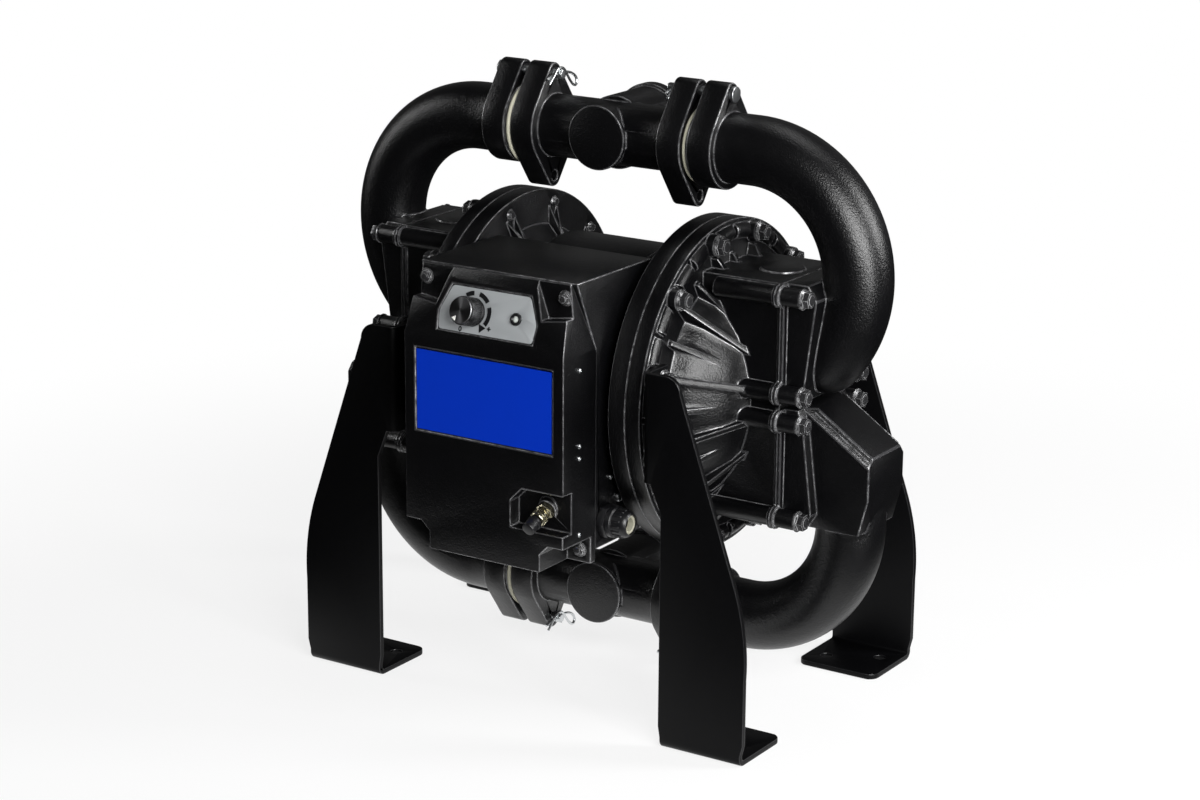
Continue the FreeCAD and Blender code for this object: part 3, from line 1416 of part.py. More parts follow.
def make_small_screws():
    """Pan heads on the side walls of the control cover and housing, and the housing's round plug."""
    heights = ("sideScrewHigh", "sideScrewMiddle", "sideScrewMiddle - sideScrewPitch", "sideScrewLow")
    heads = [screw_head(hand, "screwRadius", "screwHead", coverHalf, "sideScrewY", z)
             for hand in (-1, 1) for z in heights]
    heads.append(screw_head(1, "screwRadius", "screwHead", housingHalf, "housingScrewY", "housingScrewZ"))
    group_piece("side_screws", heads)
    group_piece("housing_plug", [screw_head(1, "housingPlugRadius", "housingPlugHead", housingHalf,
                                            "housingPlugY", "housingPlugZ")])


def make_cover_bolts():
    """Hexagon bolts at the four corners of the control cover."""
    outwards = Rotation(Vector(0, 0, 1), -90)
    bolt = hex_bolt(value("cornerBoltDepth"), "cornerBoltFlats", "cornerBoltHead", "cornerBoltRadius")
    bolts = []
    for seat, holes in corner_bolt_holes("cornerBoltRadius"):
        for x, z, radius in holes:
            bolts.append(placed(bolt, Placement(Vector(value(x), value(seat), value(z)), outwards)))
    group_piece("cover_bolts", bolts)


# Checks and output

def check_document():
    document.recompute()
    for item in document.Objects:
        if {"Invalid", "Error"} & set(item.State):
            raise RuntimeError(f"{item.Label}: {item.State}")
    for piece in outputs:
        if piece.Shape.isNull() or not piece.Shape.isValid():
            raise RuntimeError(f"{piece.Label}: bad shape")


def write_parts():
    os.makedirs("parts", exist_ok=True)
    for piece in outputs:
        piece.Shape.exportStep(f"parts/{piece.Label}.step")


fill_sheet()
make_legs()
make_fluid_covers()
make_elbows()
make_tee("outlet_tee", 1)
make_tee("inlet_tee", -1)
make_gaskets()
make_pins()
make_bolts()
make_valves()
make_inner_cover()
make_housing()
make_drive()
make_diaphragm()
make_control_cover()
make_panel()
make_name_plate()
make_cover_seal()
make_board()
make_gland()
make_connector()
make_small_screws()
make_cover_bolts()
check_document()
write_parts()
print(f"{len(outputs)} sub-parts")
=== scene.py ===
import itertools
import json
import math
import random

import bpy
from mathutils import Matrix, Vector

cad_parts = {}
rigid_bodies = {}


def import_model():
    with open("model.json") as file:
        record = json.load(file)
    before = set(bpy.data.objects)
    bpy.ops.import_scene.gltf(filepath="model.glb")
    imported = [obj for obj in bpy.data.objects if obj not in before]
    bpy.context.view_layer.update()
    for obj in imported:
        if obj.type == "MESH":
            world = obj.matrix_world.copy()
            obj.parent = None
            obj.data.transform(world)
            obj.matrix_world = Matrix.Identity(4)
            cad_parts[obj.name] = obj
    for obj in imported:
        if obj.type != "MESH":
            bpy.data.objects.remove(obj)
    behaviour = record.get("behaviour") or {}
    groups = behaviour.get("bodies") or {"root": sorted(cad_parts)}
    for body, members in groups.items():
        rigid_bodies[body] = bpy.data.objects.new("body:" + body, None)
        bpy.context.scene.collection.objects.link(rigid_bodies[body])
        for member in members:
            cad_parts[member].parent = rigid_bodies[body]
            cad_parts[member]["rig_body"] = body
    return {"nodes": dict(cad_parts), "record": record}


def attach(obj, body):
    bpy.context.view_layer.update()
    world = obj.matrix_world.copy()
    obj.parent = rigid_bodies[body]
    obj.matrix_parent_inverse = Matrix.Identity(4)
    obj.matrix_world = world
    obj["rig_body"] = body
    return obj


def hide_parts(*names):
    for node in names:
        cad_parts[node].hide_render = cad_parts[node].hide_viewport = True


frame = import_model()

random.seed(7)
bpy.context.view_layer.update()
print("frame loaded")

mm = 0.001
mergeGap = 0.00001    # points closer than this become one point, in metres
nodes = frame["nodes"]


# The photo's own camera

photoCamera = {
    "place": (1.66849, -2.60507, 1.19214),
    "yaw": 0.574379,
    "pitch": -0.280065,
    "roll": 0.006997,
    "focalPixels": 2931.06,
    "imageWidth": 1200,
    "sensor": 36.0,
    "clipEnd": 50,
}


def makeCamera(setup):
    bpy.ops.object.camera_add(location=setup["place"])
    camera = bpy.context.object
    camera.name = "photoView"
    yaw, pitch, roll = setup["yaw"], setup["pitch"], setup["roll"]
    forward = Vector((-math.sin(yaw) * math.cos(pitch), math.cos(yaw) * math.cos(pitch), math.sin(pitch)))
    right = Vector((math.cos(yaw), math.sin(yaw), 0))
    up = right.cross(forward)
    rolledRight = math.cos(roll) * right + math.sin(roll) * up
    rolledUp = math.cos(roll) * up - math.sin(roll) * right
    turned = Matrix((rolledRight, rolledUp, -forward)).transposed()
    camera.rotation_euler = turned.to_euler()
    camera.data.sensor_width = setup["sensor"]
    camera.data.lens = setup["focalPixels"] / setup["imageWidth"] * setup["sensor"]
    camera.data.clip_end = setup["clipEnd"]
    bpy.context.scene.camera = camera


makeCamera(photoCamera)


# Small helpers for shader graphs

def newMaterial(name):
    material = bpy.data.materials.new(name)
    material.use_nodes = True
    tree = material.node_tree
    tree.nodes.clear()
    output = tree.nodes.new("ShaderNodeOutputMaterial")
    surface = tree.nodes.new("ShaderNodeBsdfPrincipled")
    tree.links.new(surface.outputs["BSDF"], output.inputs["Surface"])
    return material, tree, surface


def addNode(tree, kind, values=None, **links):
    node = tree.nodes.new(kind)
    for key, value in (values or {}).items():
        if key in node.inputs:
            node.inputs[key].default_value = value
        else:
            setattr(node, key, value)
    for key, source in links.items():
        tree.links.new(source, node.inputs[key.replace("_", " ")])
    return node


def newGroup(name, inputs, outputs):
    group = bpy.data.node_groups.new(name, "ShaderNodeTree")
    for label, value in inputs.items():
        socket = group.interface.new_socket(label, in_out="INPUT", socket_type="NodeSocketFloat")
        socket.default_value = value
    for label in outputs:
        group.interface.new_socket(label, in_out="OUTPUT", socket_type="NodeSocketFloat")
    return group, group.nodes.new("NodeGroupInput"), group.nodes.new("NodeGroupOutput")


def useGroup(tree, group, values):
    node = tree.nodes.new("ShaderNodeGroup")
    node.node_tree = group
    for key, value in values.items():
        node.inputs[key].default_value = value
    return node


# Shared effects

def makeGrainGroup():
    # orange peel of sprayed paint: two sizes of noise give a height, and a slow one a change of gloss
    coarseShare = 0.5
    group, inside, outside = newGroup(
        "paintGrain", {"Scale": 900.0, "Gloss": 0.4, "Gloss Change": 0.1}, ["Height", "Roughness"])
    spot = addNode(group, "ShaderNodeTexCoord").outputs["Object"]
    fine = addNode(group, "ShaderNodeTexNoise", {"Detail": 3.0, "Roughness": 0.55}, Vector=spot)
    group.links.new(inside.outputs["Scale"], fine.inputs["Scale"])
    coarse = addNode(group, "ShaderNodeTexNoise", {"Scale": 160.0, "Detail": 2.0}, Vector=spot)
    slow = addNode(group, "ShaderNodeTexNoise", {"Scale": 9.0, "Detail": 3.0}, Vector=spot)
    height = addNode(group, "ShaderNodeMath", {"operation": "MULTIPLY_ADD"})
    group.links.new(coarse.outputs["Fac"], height.inputs[0])
    height.inputs[1].default_value = coarseShare
    group.links.new(fine.outputs["Fac"], height.inputs[2])
    group.links.new(height.outputs[0], outside.inputs["Height"])
    centred = addNode(group, "ShaderNodeMath", {"operation": "SUBTRACT"})
    group.links.new(slow.outputs["Fac"], centred.inputs[0])
    centred.inputs[1].default_value = 0.5    # noise lies round its middle, one half
    gloss = addNode(group, "ShaderNodeMath", {"operation": "MULTIPLY_ADD"})
    group.links.new(centred.outputs[0], gloss.inputs[0])
    group.links.new(inside.outputs["Gloss Change"], gloss.inputs[1])
    group.links.new(inside.outputs["Gloss"], gloss.inputs[2])
    group.links.new(gloss.outputs[0], outside.inputs["Roughness"])
    return group


def makeEdgeGroup():
    # a mask of the edges, broken up by noise, where the paint is rubbed and where a lighter colour paints in
    # the highlight that a rounded edge catches
    group, inside, outside = newGroup(
        "edgeWearAndHighlight", {"Width": 0.0008, "Amount": 0.5, "Break Up": 120.0}, ["Mask"])
    place = addNode(group, "ShaderNodeTexCoord")
    geometry = addNode(group, "ShaderNodeNewGeometry")
    rounded = addNode(group, "ShaderNodeBevel", {"samples": 6})
    group.links.new(inside.outputs["Width"], rounded.inputs["Radius"])
    same = addNode(group, "ShaderNodeVectorMath", {"operation": "DOT_PRODUCT"})
    group.links.new(rounded.outputs["Normal"], same.inputs[0])
    group.links.new(geometry.outputs["Normal"], same.inputs[1])
    edge = addNode(group, "ShaderNodeMapRange",
                   {"From Min": 0.995, "From Max": 0.9, "To Min": 0.0, "To Max": 1.0})
    group.links.new(same.outputs["Value"], edge.inputs["Value"])
    noise = addNode(group, "ShaderNodeTexNoise", {"Detail": 4.0}, Vector=place.outputs["Object"])
    group.links.new(inside.outputs["Break Up"], noise.inputs["Scale"])
    patchy = addNode(group, "ShaderNodeMapRange", {"From Min": 0.35, "From Max": 0.65})
    group.links.new(noise.outputs["Fac"], patchy.inputs["Value"])
    both = addNode(group, "ShaderNodeMath", {"operation": "MULTIPLY"})
    group.links.new(edge.outputs["Result"], both.inputs[0])
    group.links.new(patchy.outputs["Result"], both.inputs[1])
    scaled = addNode(group, "ShaderNodeMath", {"operation": "MULTIPLY"})
    group.links.new(both.outputs[0], scaled.inputs[0])
    group.links.new(inside.outputs["Amount"], scaled.inputs[1])
    group.links.new(scaled.outputs[0], outside.inputs["Mask"])
    return group


paintGrain = makeGrainGroup()
edgeWearAndHighlight = makeEdgeGroup()
edgePatchScale = 140.0    # noise scale of the patches that break up a rubbed edge with its painted highlight


def sprayedSurface(name, look):
    # base colour with rubbed edges that also carry a painted highlight; gloss that changes slowly, and a fine
    # grain
    material, tree, surface = newMaterial(name)
    grain = useGroup(tree, paintGrain, {"Scale": look["grainScale"], "Gloss": look["roughness"],
                                        "Gloss Change": look["glossChange"]})
    edge = useGroup(tree, edgeWearAndHighlight, {"Width": look["edgeWidth"], "Amount": look["edgeAmount"],
                                       "Break Up": edgePatchScale})
    # the edge mask mixes in the lighter edge colour: rubbed paint and a painted highlight along the edges
    colour = addNode(tree, "ShaderNodeMix", {"data_type": "RGBA"})
    tree.links.new(edge.outputs["Mask"], colour.inputs["Factor"])
    colour.inputs[6].default_value = (*look["colour"], 1)    # 6 and 7 are the two colours that it mixes
    colour.inputs[7].default_value = (*look["edgeWearAndHighlightColour"], 1)
    tree.links.new(colour.outputs[2], surface.inputs["Base Color"])
    tree.links.new(grain.outputs["Roughness"], surface.inputs["Roughness"])
    bump = addNode(tree, "ShaderNodeBump", {"Strength": look["bump"], "Distance": look["depth"]})
    tree.links.new(grain.outputs["Height"], bump.inputs["Height"])
    tree.links.new(bump.outputs["Normal"], surface.inputs["Normal"])
    surface.inputs["Specular IOR Level"].default_value = look["specular"]
    surface.inputs["Metallic"].default_value = look["metallic"]
    return material


# each finish's edge colour is rubbed paint together with a painted highlight along the edges; the lightest
# ones stand mostly for the highlight
finishes = {
    "paintedCasting": {
        "colour": (0.0016, 0.0016, 0.002), "edgeWearAndHighlightColour": (0.09, 0.09, 0.095), "roughness": 0.31,
        "glossChange": 0.16, "grainScale": 560.0, "bump": 0.75, "depth": 0.0006, "edgeWidth": 0.0010,
        "edgeAmount": 0.8, "specular": 0.5, "metallic": 0.0,
    },
    # the bevelled strips of the castings get a lighter colour and lighter edges: a painted highlight on the
    # rounded edges, with rubbed paint
    "edgeWearAndHighlightCasting": {
        "colour": (0.035, 0.035, 0.037), "edgeWearAndHighlightColour": (0.42, 0.42, 0.43), "roughness": 0.22,
        "glossChange": 0.3, "grainScale": 900.0, "bump": 0.3, "depth": 0.0003, "edgeWidth": 0.0018,
        "edgeAmount": 1.0, "specular": 1.0, "metallic": 0.25,
    },
    "legPaint": {
        "colour": (0.0012, 0.0012, 0.0015), "edgeWearAndHighlightColour": (0.01, 0.01, 0.01), "roughness": 0.42,
        "glossChange": 0.06, "grainScale": 1500.0, "bump": 0.12, "depth": 0.0002, "edgeWidth": 0.0008,
        "edgeAmount": 0.3, "specular": 0.14, "metallic": 0.0,
    },
    # the bevelled strips of the legs, a little lighter: a painted highlight with rubbed paint
    "edgeWearAndHighlightLeg": {
        "colour": (0.006, 0.006, 0.007), "edgeWearAndHighlightColour": (0.06, 0.06, 0.06), "roughness": 0.3,
        "glossChange": 0.1, "grainScale": 1500.0, "bump": 0.1, "depth": 0.0002, "edgeWidth": 0.0008,
        "edgeAmount": 0.5, "specular": 0.5, "metallic": 0.1,
    },
    # the light edge colour paints in highlights on the bolts' edges
    "blackFastener": {
        "colour": (0.035, 0.035, 0.037), "edgeWearAndHighlightColour": (0.70, 0.70, 0.71), "roughness": 0.24,
        "glossChange": 0.2, "grainScale": 2200.0, "bump": 0.15, "depth": 0.0002, "edgeWidth": 0.0012,
        "edgeAmount": 0.9, "specular": 0.8, "metallic": 0.5,
    },
    "zincSteel": {
        "colour": (0.66, 0.68, 0.69), "edgeWearAndHighlightColour": (0.75, 0.76, 0.77), "roughness": 0.28,
        "glossChange": 0.2, "grainScale": 1800.0, "bump": 0.1, "depth": 0.0001, "edgeWidth": 0.0005,
        "edgeAmount": 0.5, "specular": 0.5, "metallic": 1.0,
    },
    "creamGasket": {
        "colour": (0.38, 0.37, 0.29), "edgeWearAndHighlightColour": (0.55, 0.54, 0.45), "roughness": 0.7,
        "glossChange": 0.2, "grainScale": 420.0, "bump": 0.8, "depth": 0.0008, "edgeWidth": 0.0006,
        "edgeAmount": 0.4, "specular": 0.3, "metallic": 0.0,
    },
    "whitePolymer": {
        "colour": (0.72, 0.72, 0.68), "edgeWearAndHighlightColour": (0.8, 0.8, 0.78), "roughness": 0.5,
        "glossChange": 0.1, "grainScale": 700.0, "bump": 0.1, "depth": 0.0002, "edgeWidth": 0.0006,
        "edgeAmount": 0.3, "specular": 0.4, "metallic": 0.0,
    },
    "blackRubber": {
        "colour": (0.012, 0.012, 0.012), "edgeWearAndHighlightColour": (0.03, 0.03, 0.03), "roughness": 0.75,
        "glossChange": 0.1, "grainScale": 800.0, "bump": 0.3, "depth": 0.0003, "edgeWidth": 0.0006,
        "edgeAmount": 0.3, "specular": 0.3, "metallic": 0.0,
    },
    "motorCore": {
        "colour": (0.30, 0.30, 0.32), "edgeWearAndHighlightColour": (0.5, 0.5, 0.5), "roughness": 0.45,
        "glossChange": 0.2, "grainScale": 900.0, "bump": 0.2, "depth": 0.0003, "edgeWidth": 0.0006,
        "edgeAmount": 0.4, "specular": 0.5, "metallic": 0.9,
    },
    "groundSteel": {
        "colour": (0.50, 0.51, 0.53), "edgeWearAndHighlightColour": (0.7, 0.7, 0.7), "roughness": 0.25,
        "glossChange": 0.1, "grainScale": 2400.0, "bump": 0.08, "depth": 0.0001, "edgeWidth": 0.0005,
        "edgeAmount": 0.4, "specular": 0.5, "metallic": 1.0,
    },
    "bronzeBush": {
        "colour": (0.45, 0.30, 0.14), "edgeWearAndHighlightColour": (0.6, 0.45, 0.25), "roughness": 0.4,
        "glossChange": 0.2, "grainScale": 1200.0, "bump": 0.2, "depth": 0.0002, "edgeWidth": 0.0005,
        "edgeAmount": 0.4, "specular": 0.5, "metallic": 1.0,
    },
    "bareAluminium": {
        "colour": (0.6, 0.61, 0.63), "edgeWearAndHighlightColour": (0.75, 0.75, 0.77), "roughness": 0.35,
        "glossChange": 0.15, "grainScale": 1500.0, "bump": 0.1, "depth": 0.0001, "edgeWidth": 0.0006,
        "edgeAmount": 0.4, "specular": 0.5, "metallic": 1.0,
    },
    "silverPanel": {
        "colour": (0.40, 0.42, 0.43), "edgeWearAndHighlightColour": (0.55, 0.56, 0.57), "roughness": 0.45,
        "glossChange": 0.1, "grainScale": 2000.0, "bump": 0.1, "depth": 0.0001, "edgeWidth": 0.0004,
        "edgeAmount": 0.5, "specular": 0.5, "metallic": 0.3,
    },
    "blackPlastic": {
        "colour": (0.006, 0.006, 0.007), "edgeWearAndHighlightColour": (0.04, 0.04, 0.04), "roughness": 0.35,
        "glossChange": 0.1, "grainScale": 1600.0, "bump": 0.15, "depth": 0.0002, "edgeWidth": 0.0006,
        "edgeAmount": 0.5, "specular": 0.5, "metallic": 0.0,
    },
    "knobMetal": {
        "colour": (0.02, 0.02, 0.021), "edgeWearAndHighlightColour": (0.42, 0.42, 0.43), "roughness": 0.34,
        "glossChange": 0.3, "grainScale": 2600.0, "bump": 0.5, "depth": 0.0004, "edgeWidth": 0.0005,
        "edgeAmount": 0.9, "specular": 0.5, "metallic": 0.8,
    },
    "pilotLens": {
        "colour": (0.55, 0.58, 0.55), "edgeWearAndHighlightColour": (0.6, 0.6, 0.6), "roughness": 0.2,
        "glossChange": 0.05, "grainScale": 900.0, "bump": 0.05, "depth": 0.0001, "edgeWidth": 0.0004,
        "edgeAmount": 0.2, "specular": 0.5, "metallic": 0.0,
    },
    "blueEnamel": {
        "colour": (0.0, 0.023, 0.36), "edgeWearAndHighlightColour": (0.02, 0.07, 0.45), "roughness": 0.55,
        "glossChange": 0.06, "grainScale": 1400.0, "bump": 0.05, "depth": 0.0001, "edgeWidth": 0.0005,
        "edgeAmount": 0.3, "specular": 0.04, "metallic": 0.0,
    },
    "greenBoard": {
        "colour": (0.02, 0.14, 0.06), "edgeWearAndHighlightColour": (0.1, 0.2, 0.1), "roughness": 0.45,
        "glossChange": 0.1, "grainScale": 1200.0, "bump": 0.1, "depth": 0.0002, "edgeWidth": 0.0005,
        "edgeAmount": 0.3, "specular": 0.4, "metallic": 0.0,
    },
    "nickelBrass": {
        "colour": (0.62, 0.58, 0.42), "edgeWearAndHighlightColour": (0.8, 0.76, 0.6), "roughness": 0.25,
        "glossChange": 0.2, "grainScale": 1800.0, "bump": 0.1, "depth": 0.0001, "edgeWidth": 0.0005,
        "edgeAmount": 0.5, "specular": 0.5, "metallic": 1.0,
    },
}
finishOfSlot = {
    "leg_steel": "legPaint", "painted_casting": "paintedCasting", "cream_gasket": "creamGasket",
    "zinc_steel": "zincSteel", "black_fastener": "blackFastener", "wetted_polymer": "whitePolymer",
    "black_rubber": "blackRubber", "motor_core": "motorCore", "machined_steel": "groundSteel",
    "bronze_bush": "bronzeBush", "bare_aluminium": "bareAluminium", "silver_panel": "silverPanel",
    "black_plastic": "blackPlastic", "pilot_light": "pilotLens", "blue_plate": "blueEnamel",
    "board_green": "greenBoard", "nickel_brass": "nickelBrass",
}
# the lighter finishes that the bevelled strips take: painted highlight with rubbed paint
edgeWearAndHighlightFinish = {"paintedCasting": "edgeWearAndHighlightCasting", "legPaint": "edgeWearAndHighlightLeg"}
materials = {name: sprayedSurface(name, look) for name, look in finishes.items()}


def turnedSurface(name, look):
    # bare metal with the fine rings of a lathe, which draw the light into two opposite sectors
    material = sprayedSurface(name, look)
    tree = material.node_tree
    surface = next(node for node in tree.nodes if node.type == "BSDF_PRINCIPLED")
    place = addNode(tree, "ShaderNodeTexCoord")
    spoke = addNode(tree, "ShaderNodeVectorMath", {"operation": "SUBTRACT"})
    tree.links.new(place.outputs["Object"], spoke.inputs[0])
    spoke.inputs[1].default_value = look["centre"]
    around = addNode(tree, "ShaderNodeVectorMath", {"operation": "CROSS_PRODUCT"})
    around.inputs[0].default_value = look["axis"]
    tree.links.new(spoke.outputs["Vector"], around.inputs[1])
    ringLine = addNode(tree, "ShaderNodeVectorMath", {"operation": "NORMALIZE"})
    tree.links.new(around.outputs["Vector"], ringLine.inputs[0])
    tree.links.new(ringLine.outputs["Vector"], surface.inputs["Tangent"])
    surface.inputs["Anisotropic"].default_value = look["anisotropic"]
    return material


slotOfNode = {part["node"]: part["material_slot"] for part in frame["record"]["subparts"]}
print("materials made")


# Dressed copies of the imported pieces: the loose triangles are joined and the cast edges rounded

def selectOnly(piece):
    bpy.ops.object.select_all(action="DESELECT")
    piece.select_set(True)
    bpy.context.view_layer.objects.active = piece


def applyModifier(piece, kind, **settings):
    modifier = piece.modifiers.new(kind, kind)
    for key, value in settings.items():
        setattr(modifier, key, value)
    selectOnly(piece)
    bpy.ops.object.modifier_apply(modifier=modifier.name)


def applyPlace(piece):
    selectOnly(piece)
    bpy.ops.object.transform_apply(location=True, rotation=True, scale=True)


def bodyOf(nodeName):
    return nodes[nodeName]["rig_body"]


def finishPiece(piece, finish, body):
    piece.data.materials.clear()
    piece.data.materials.append(materials[finish])
    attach(piece, body)


def joinedCopy(nodeName, flatWithin=0.6):
    mesh = nodes[nodeName].data.copy()
    piece = bpy.data.objects.new(nodeName + "_finished", mesh)
    bpy.context.scene.collection.objects.link(piece)
    selectOnly(piece)
    bpy.ops.mesh.customdata_custom_splitnormals_clear()
    bpy.ops.object.mode_set(mode="EDIT")
    bpy.ops.mesh.select_all(action="SELECT")
    bpy.ops.mesh.remove_doubles(threshold=mergeGap)
    bpy.ops.mesh.dissolve_limited(angle_limit=math.radians(flatWithin))
    bpy.ops.mesh.quads_convert_to_tris(ngon_method="BEAUTY")
    bpy.ops.object.mode_set(mode="OBJECT")
    return piece


def roundedNode(nodeName, width, segments=2, sharpAngle=35):
    # the rounded edges take a lighter finish, where there is one: rubbed paint with a painted highlight
    piece = joinedCopy(nodeName)
    slotName = slotOfNode[nodeName]
    finish = finishOfSlot[slotName]
    finishPiece(piece, finish, bodyOf(nodeName))
    wornHighlightFinish = edgeWearAndHighlightFinish.get(finish)
    if wornHighlightFinish:
        piece.data.materials.append(materials[wornHighlightFinish])
    applyModifier(piece, "BEVEL", width=width, segments=segments, limit_method="ANGLE",
                  angle_limit=math.radians(sharpAngle), use_clamp_overlap=False, harden_normals=False,
                  material=1 if wornHighlightFinish else -1)
    selectOnly(piece)
    bpy.ops.object.shade_smooth_by_angle(angle=math.radians(sharpAngle))
    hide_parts(nodeName)
    return piece


for nodeName, node in nodes.items():
    node.data.materials.clear()
    node.data.materials.append(materials[finishOfSlot[slotOfNode[nodeName]]])

edgeRounding = {
    "fluid_cover_right": 1.2, "fluid_cover_left": 1.2, "outlet_elbow_right": 1.6, "outlet_elbow_left": 1.6,
    "inlet_elbow_right": 1.6, "inlet_elbow_left": 1.6, "outlet_tee": 1.6, "inlet_tee": 1.6,
    "inner_cover_right": 1.0, "inner_cover_left": 1.0, "centre_housing": 1.4, "control_cover": 1.4,
    "leg_front_right": 0.8, "leg_front_left": 0.8, "leg_rear_right": 0.8, "leg_rear_left": 0.8,
}
for nodeName, width in edgeRounding.items():
    roundedNode(nodeName, width * mm)
print("castings finished")


# New pieces: a ring is stacked up into a turned shape, and shapes are set on their places

def turnedShape(name, profile, sides=32, hollow=False):
    # radius and height in millimetres, from the foot up; a hollow shape's profile comes back to its start
    radius, height = profile[0]
    bpy.ops.object.select_all(action="DESELECT")
    bpy.ops.mesh.primitive_circle_add(vertices=sides, radius=radius * mm, location=(0, 0, 0),
                                      fill_type="NOTHING" if hollow else "NGON")
    piece = bpy.context.object
    piece.name = name
    bpy.ops.object.mode_set(mode="EDIT")
    bpy.ops.mesh.select_mode(type="VERT")
    bpy.ops.mesh.select_all(action="SELECT")
    bpy.ops.transform.translate(value=(0, 0, height * mm))
    for nextRadius, nextHeight in profile[1:]:
        bpy.ops.mesh.extrude_region_move(TRANSFORM_OT_translate={"value": (0, 0, (nextHeight - height) * mm)})
        grow = nextRadius / radius
        bpy.ops.transform.resize(value=(grow, grow, 1), center_override=(0, 0, nextHeight * mm))
        radius, height = nextRadius, nextHeight
    bpy.ops.mesh.select_all(action="SELECT")
    bpy.ops.mesh.remove_doubles(threshold=mergeGap)
    bpy.ops.mesh.normals_make_consistent(inside=False)
    bpy.ops.object.mode_set(mode="OBJECT")
    return piece


def blockShape(name, length, width, height, topShare=1.0, rounding=0.0):
    # a bar that stands on the origin and runs along X, narrower at the top
    bpy.ops.object.select_all(action="DESELECT")
    bpy.ops.mesh.primitive_cube_add(size=mm, location=(0, 0, height * mm / 2))
    piece = bpy.context.object
    piece.name = name
    piece.scale = (length, width, height)
    applyPlace(piece)
    if topShare != 1.0:
        selectFaces(piece, lambda face: face.normal.z > 0.9)
        bpy.ops.object.mode_set(mode="EDIT")
        bpy.ops.transform.resize(value=(1 - (1 - topShare) * width / length, topShare, 1),
                                 center_override=(0, 0, height * mm))
        bpy.ops.object.mode_set(mode="OBJECT")
    if rounding:
        applyModifier(piece, "BEVEL", width=rounding * mm, segments=2, limit_method="ANGLE")
    return piece


def selectFaces(piece, wanted):
    selectOnly(piece)
    bpy.ops.object.mode_set(mode="EDIT")
    bpy.ops.mesh.select_mode(type="FACE")
    bpy.ops.mesh.select_all(action="DESELECT")
    bpy.ops.object.mode_set(mode="OBJECT")
    for face in piece.data.polygons:
        face.select = wanted(face)


def seatPiece(piece, place, axis=(0, 0, 1), spin=0.0, across=None):
    # the piece's Z goes along the axis, and its X along "across"
    axis = Vector(axis).normalized()
    across = Vector(across or ((0, 1, 0) if abs(axis.x) > 0.9 else (1, 0, 0)))
    xAxis = (across - axis * axis.dot(across)).normalized()
    turned = Matrix((xAxis, axis.cross(xAxis), axis)).transposed() @ Matrix.Rotation(spin, 3, "Z")
    piece.matrix_world = Matrix.Translation(Vector(place) * mm) @ turned.to_4x4()
    applyPlace(piece)
    return piece


def copyOf(piece, name):
    selectOnly(piece)
    bpy.ops.object.duplicate()
    copy = bpy.context.object
    copy.name = name
    return copy


def joinPieces(name, pieces):
    bpy.ops.object.select_all(action="DESELECT")
    for piece in pieces:
        piece.select_set(True)
    bpy.context.view_layer.objects.active = pieces[0]
    bpy.ops.object.join()
    joined = bpy.context.object
    joined.name = name
    return joined


def repeatAt(name, model, places):
    # copies of one model at (place, axis, spin), joined; the model itself goes
    copies = [seatPiece(copyOf(model, name), place, axis, spin) for place, axis, spin in places]
    bpy.data.objects.remove(model)
    return joinPieces(name, copies)


def ribsRound(count, radius, height, length, width, depth, topShare=0.4, rounding=0.0):
    # bars along Z at that height, set round a circle with their backs outwards
    ribs = []
    for step in range(count):
        turn = 2 * math.pi * step / count
        outwards = Vector((math.cos(turn), math.sin(turn), 0))
        rib = blockShape("rib", length, width, depth, topShare, rounding)
        ribs.append(seatPiece(rib, outwards * radius + Vector((0, 0, height)), outwards, across=(0, 0, 1)))
    return ribs


def dressPiece(piece, finish, replaced=(), body="frame", smoothAngle=40):
    selectOnly(piece)
    bpy.ops.object.shade_smooth_by_angle(angle=math.radians(smoothAngle))
    finishPiece(piece, finish, body)
    if replaced:
        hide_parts(*replaced)
    return piece


# Bolts with a flanged head and a washer; the thread shows where the shank comes out

pumpAxis = 345.0
flangeBolt = {"flats": 16.0, "washer": 11.2, "collar": 9.9, "head": 10.0,
              "shank": 5.0, "thread": 12.0, "pitch": 1.5}
smallBolt = {"flats": 10.0, "washer": 8.2, "collar": 6.6, "head": 6.0,
             "shank": 3.0, "thread": 6.0, "pitch": 1.5}
boltRing = {"radius": 165.0, "count": 12, "seat": 156.0, "legSeat": 162.0, "tailEnd": 103.7, "legReach": 60.0}
portBolts = {"seat": 268.0, "y": 61.5, "z": 52.0, "centre": 3.0, "spacing": 134.0, "depth": 50.0}
cornerBolts = {"x": 86.0, "upper": (-224.5, 131.0), "lower": (-196.0, -143.0), "depth": 19.0}


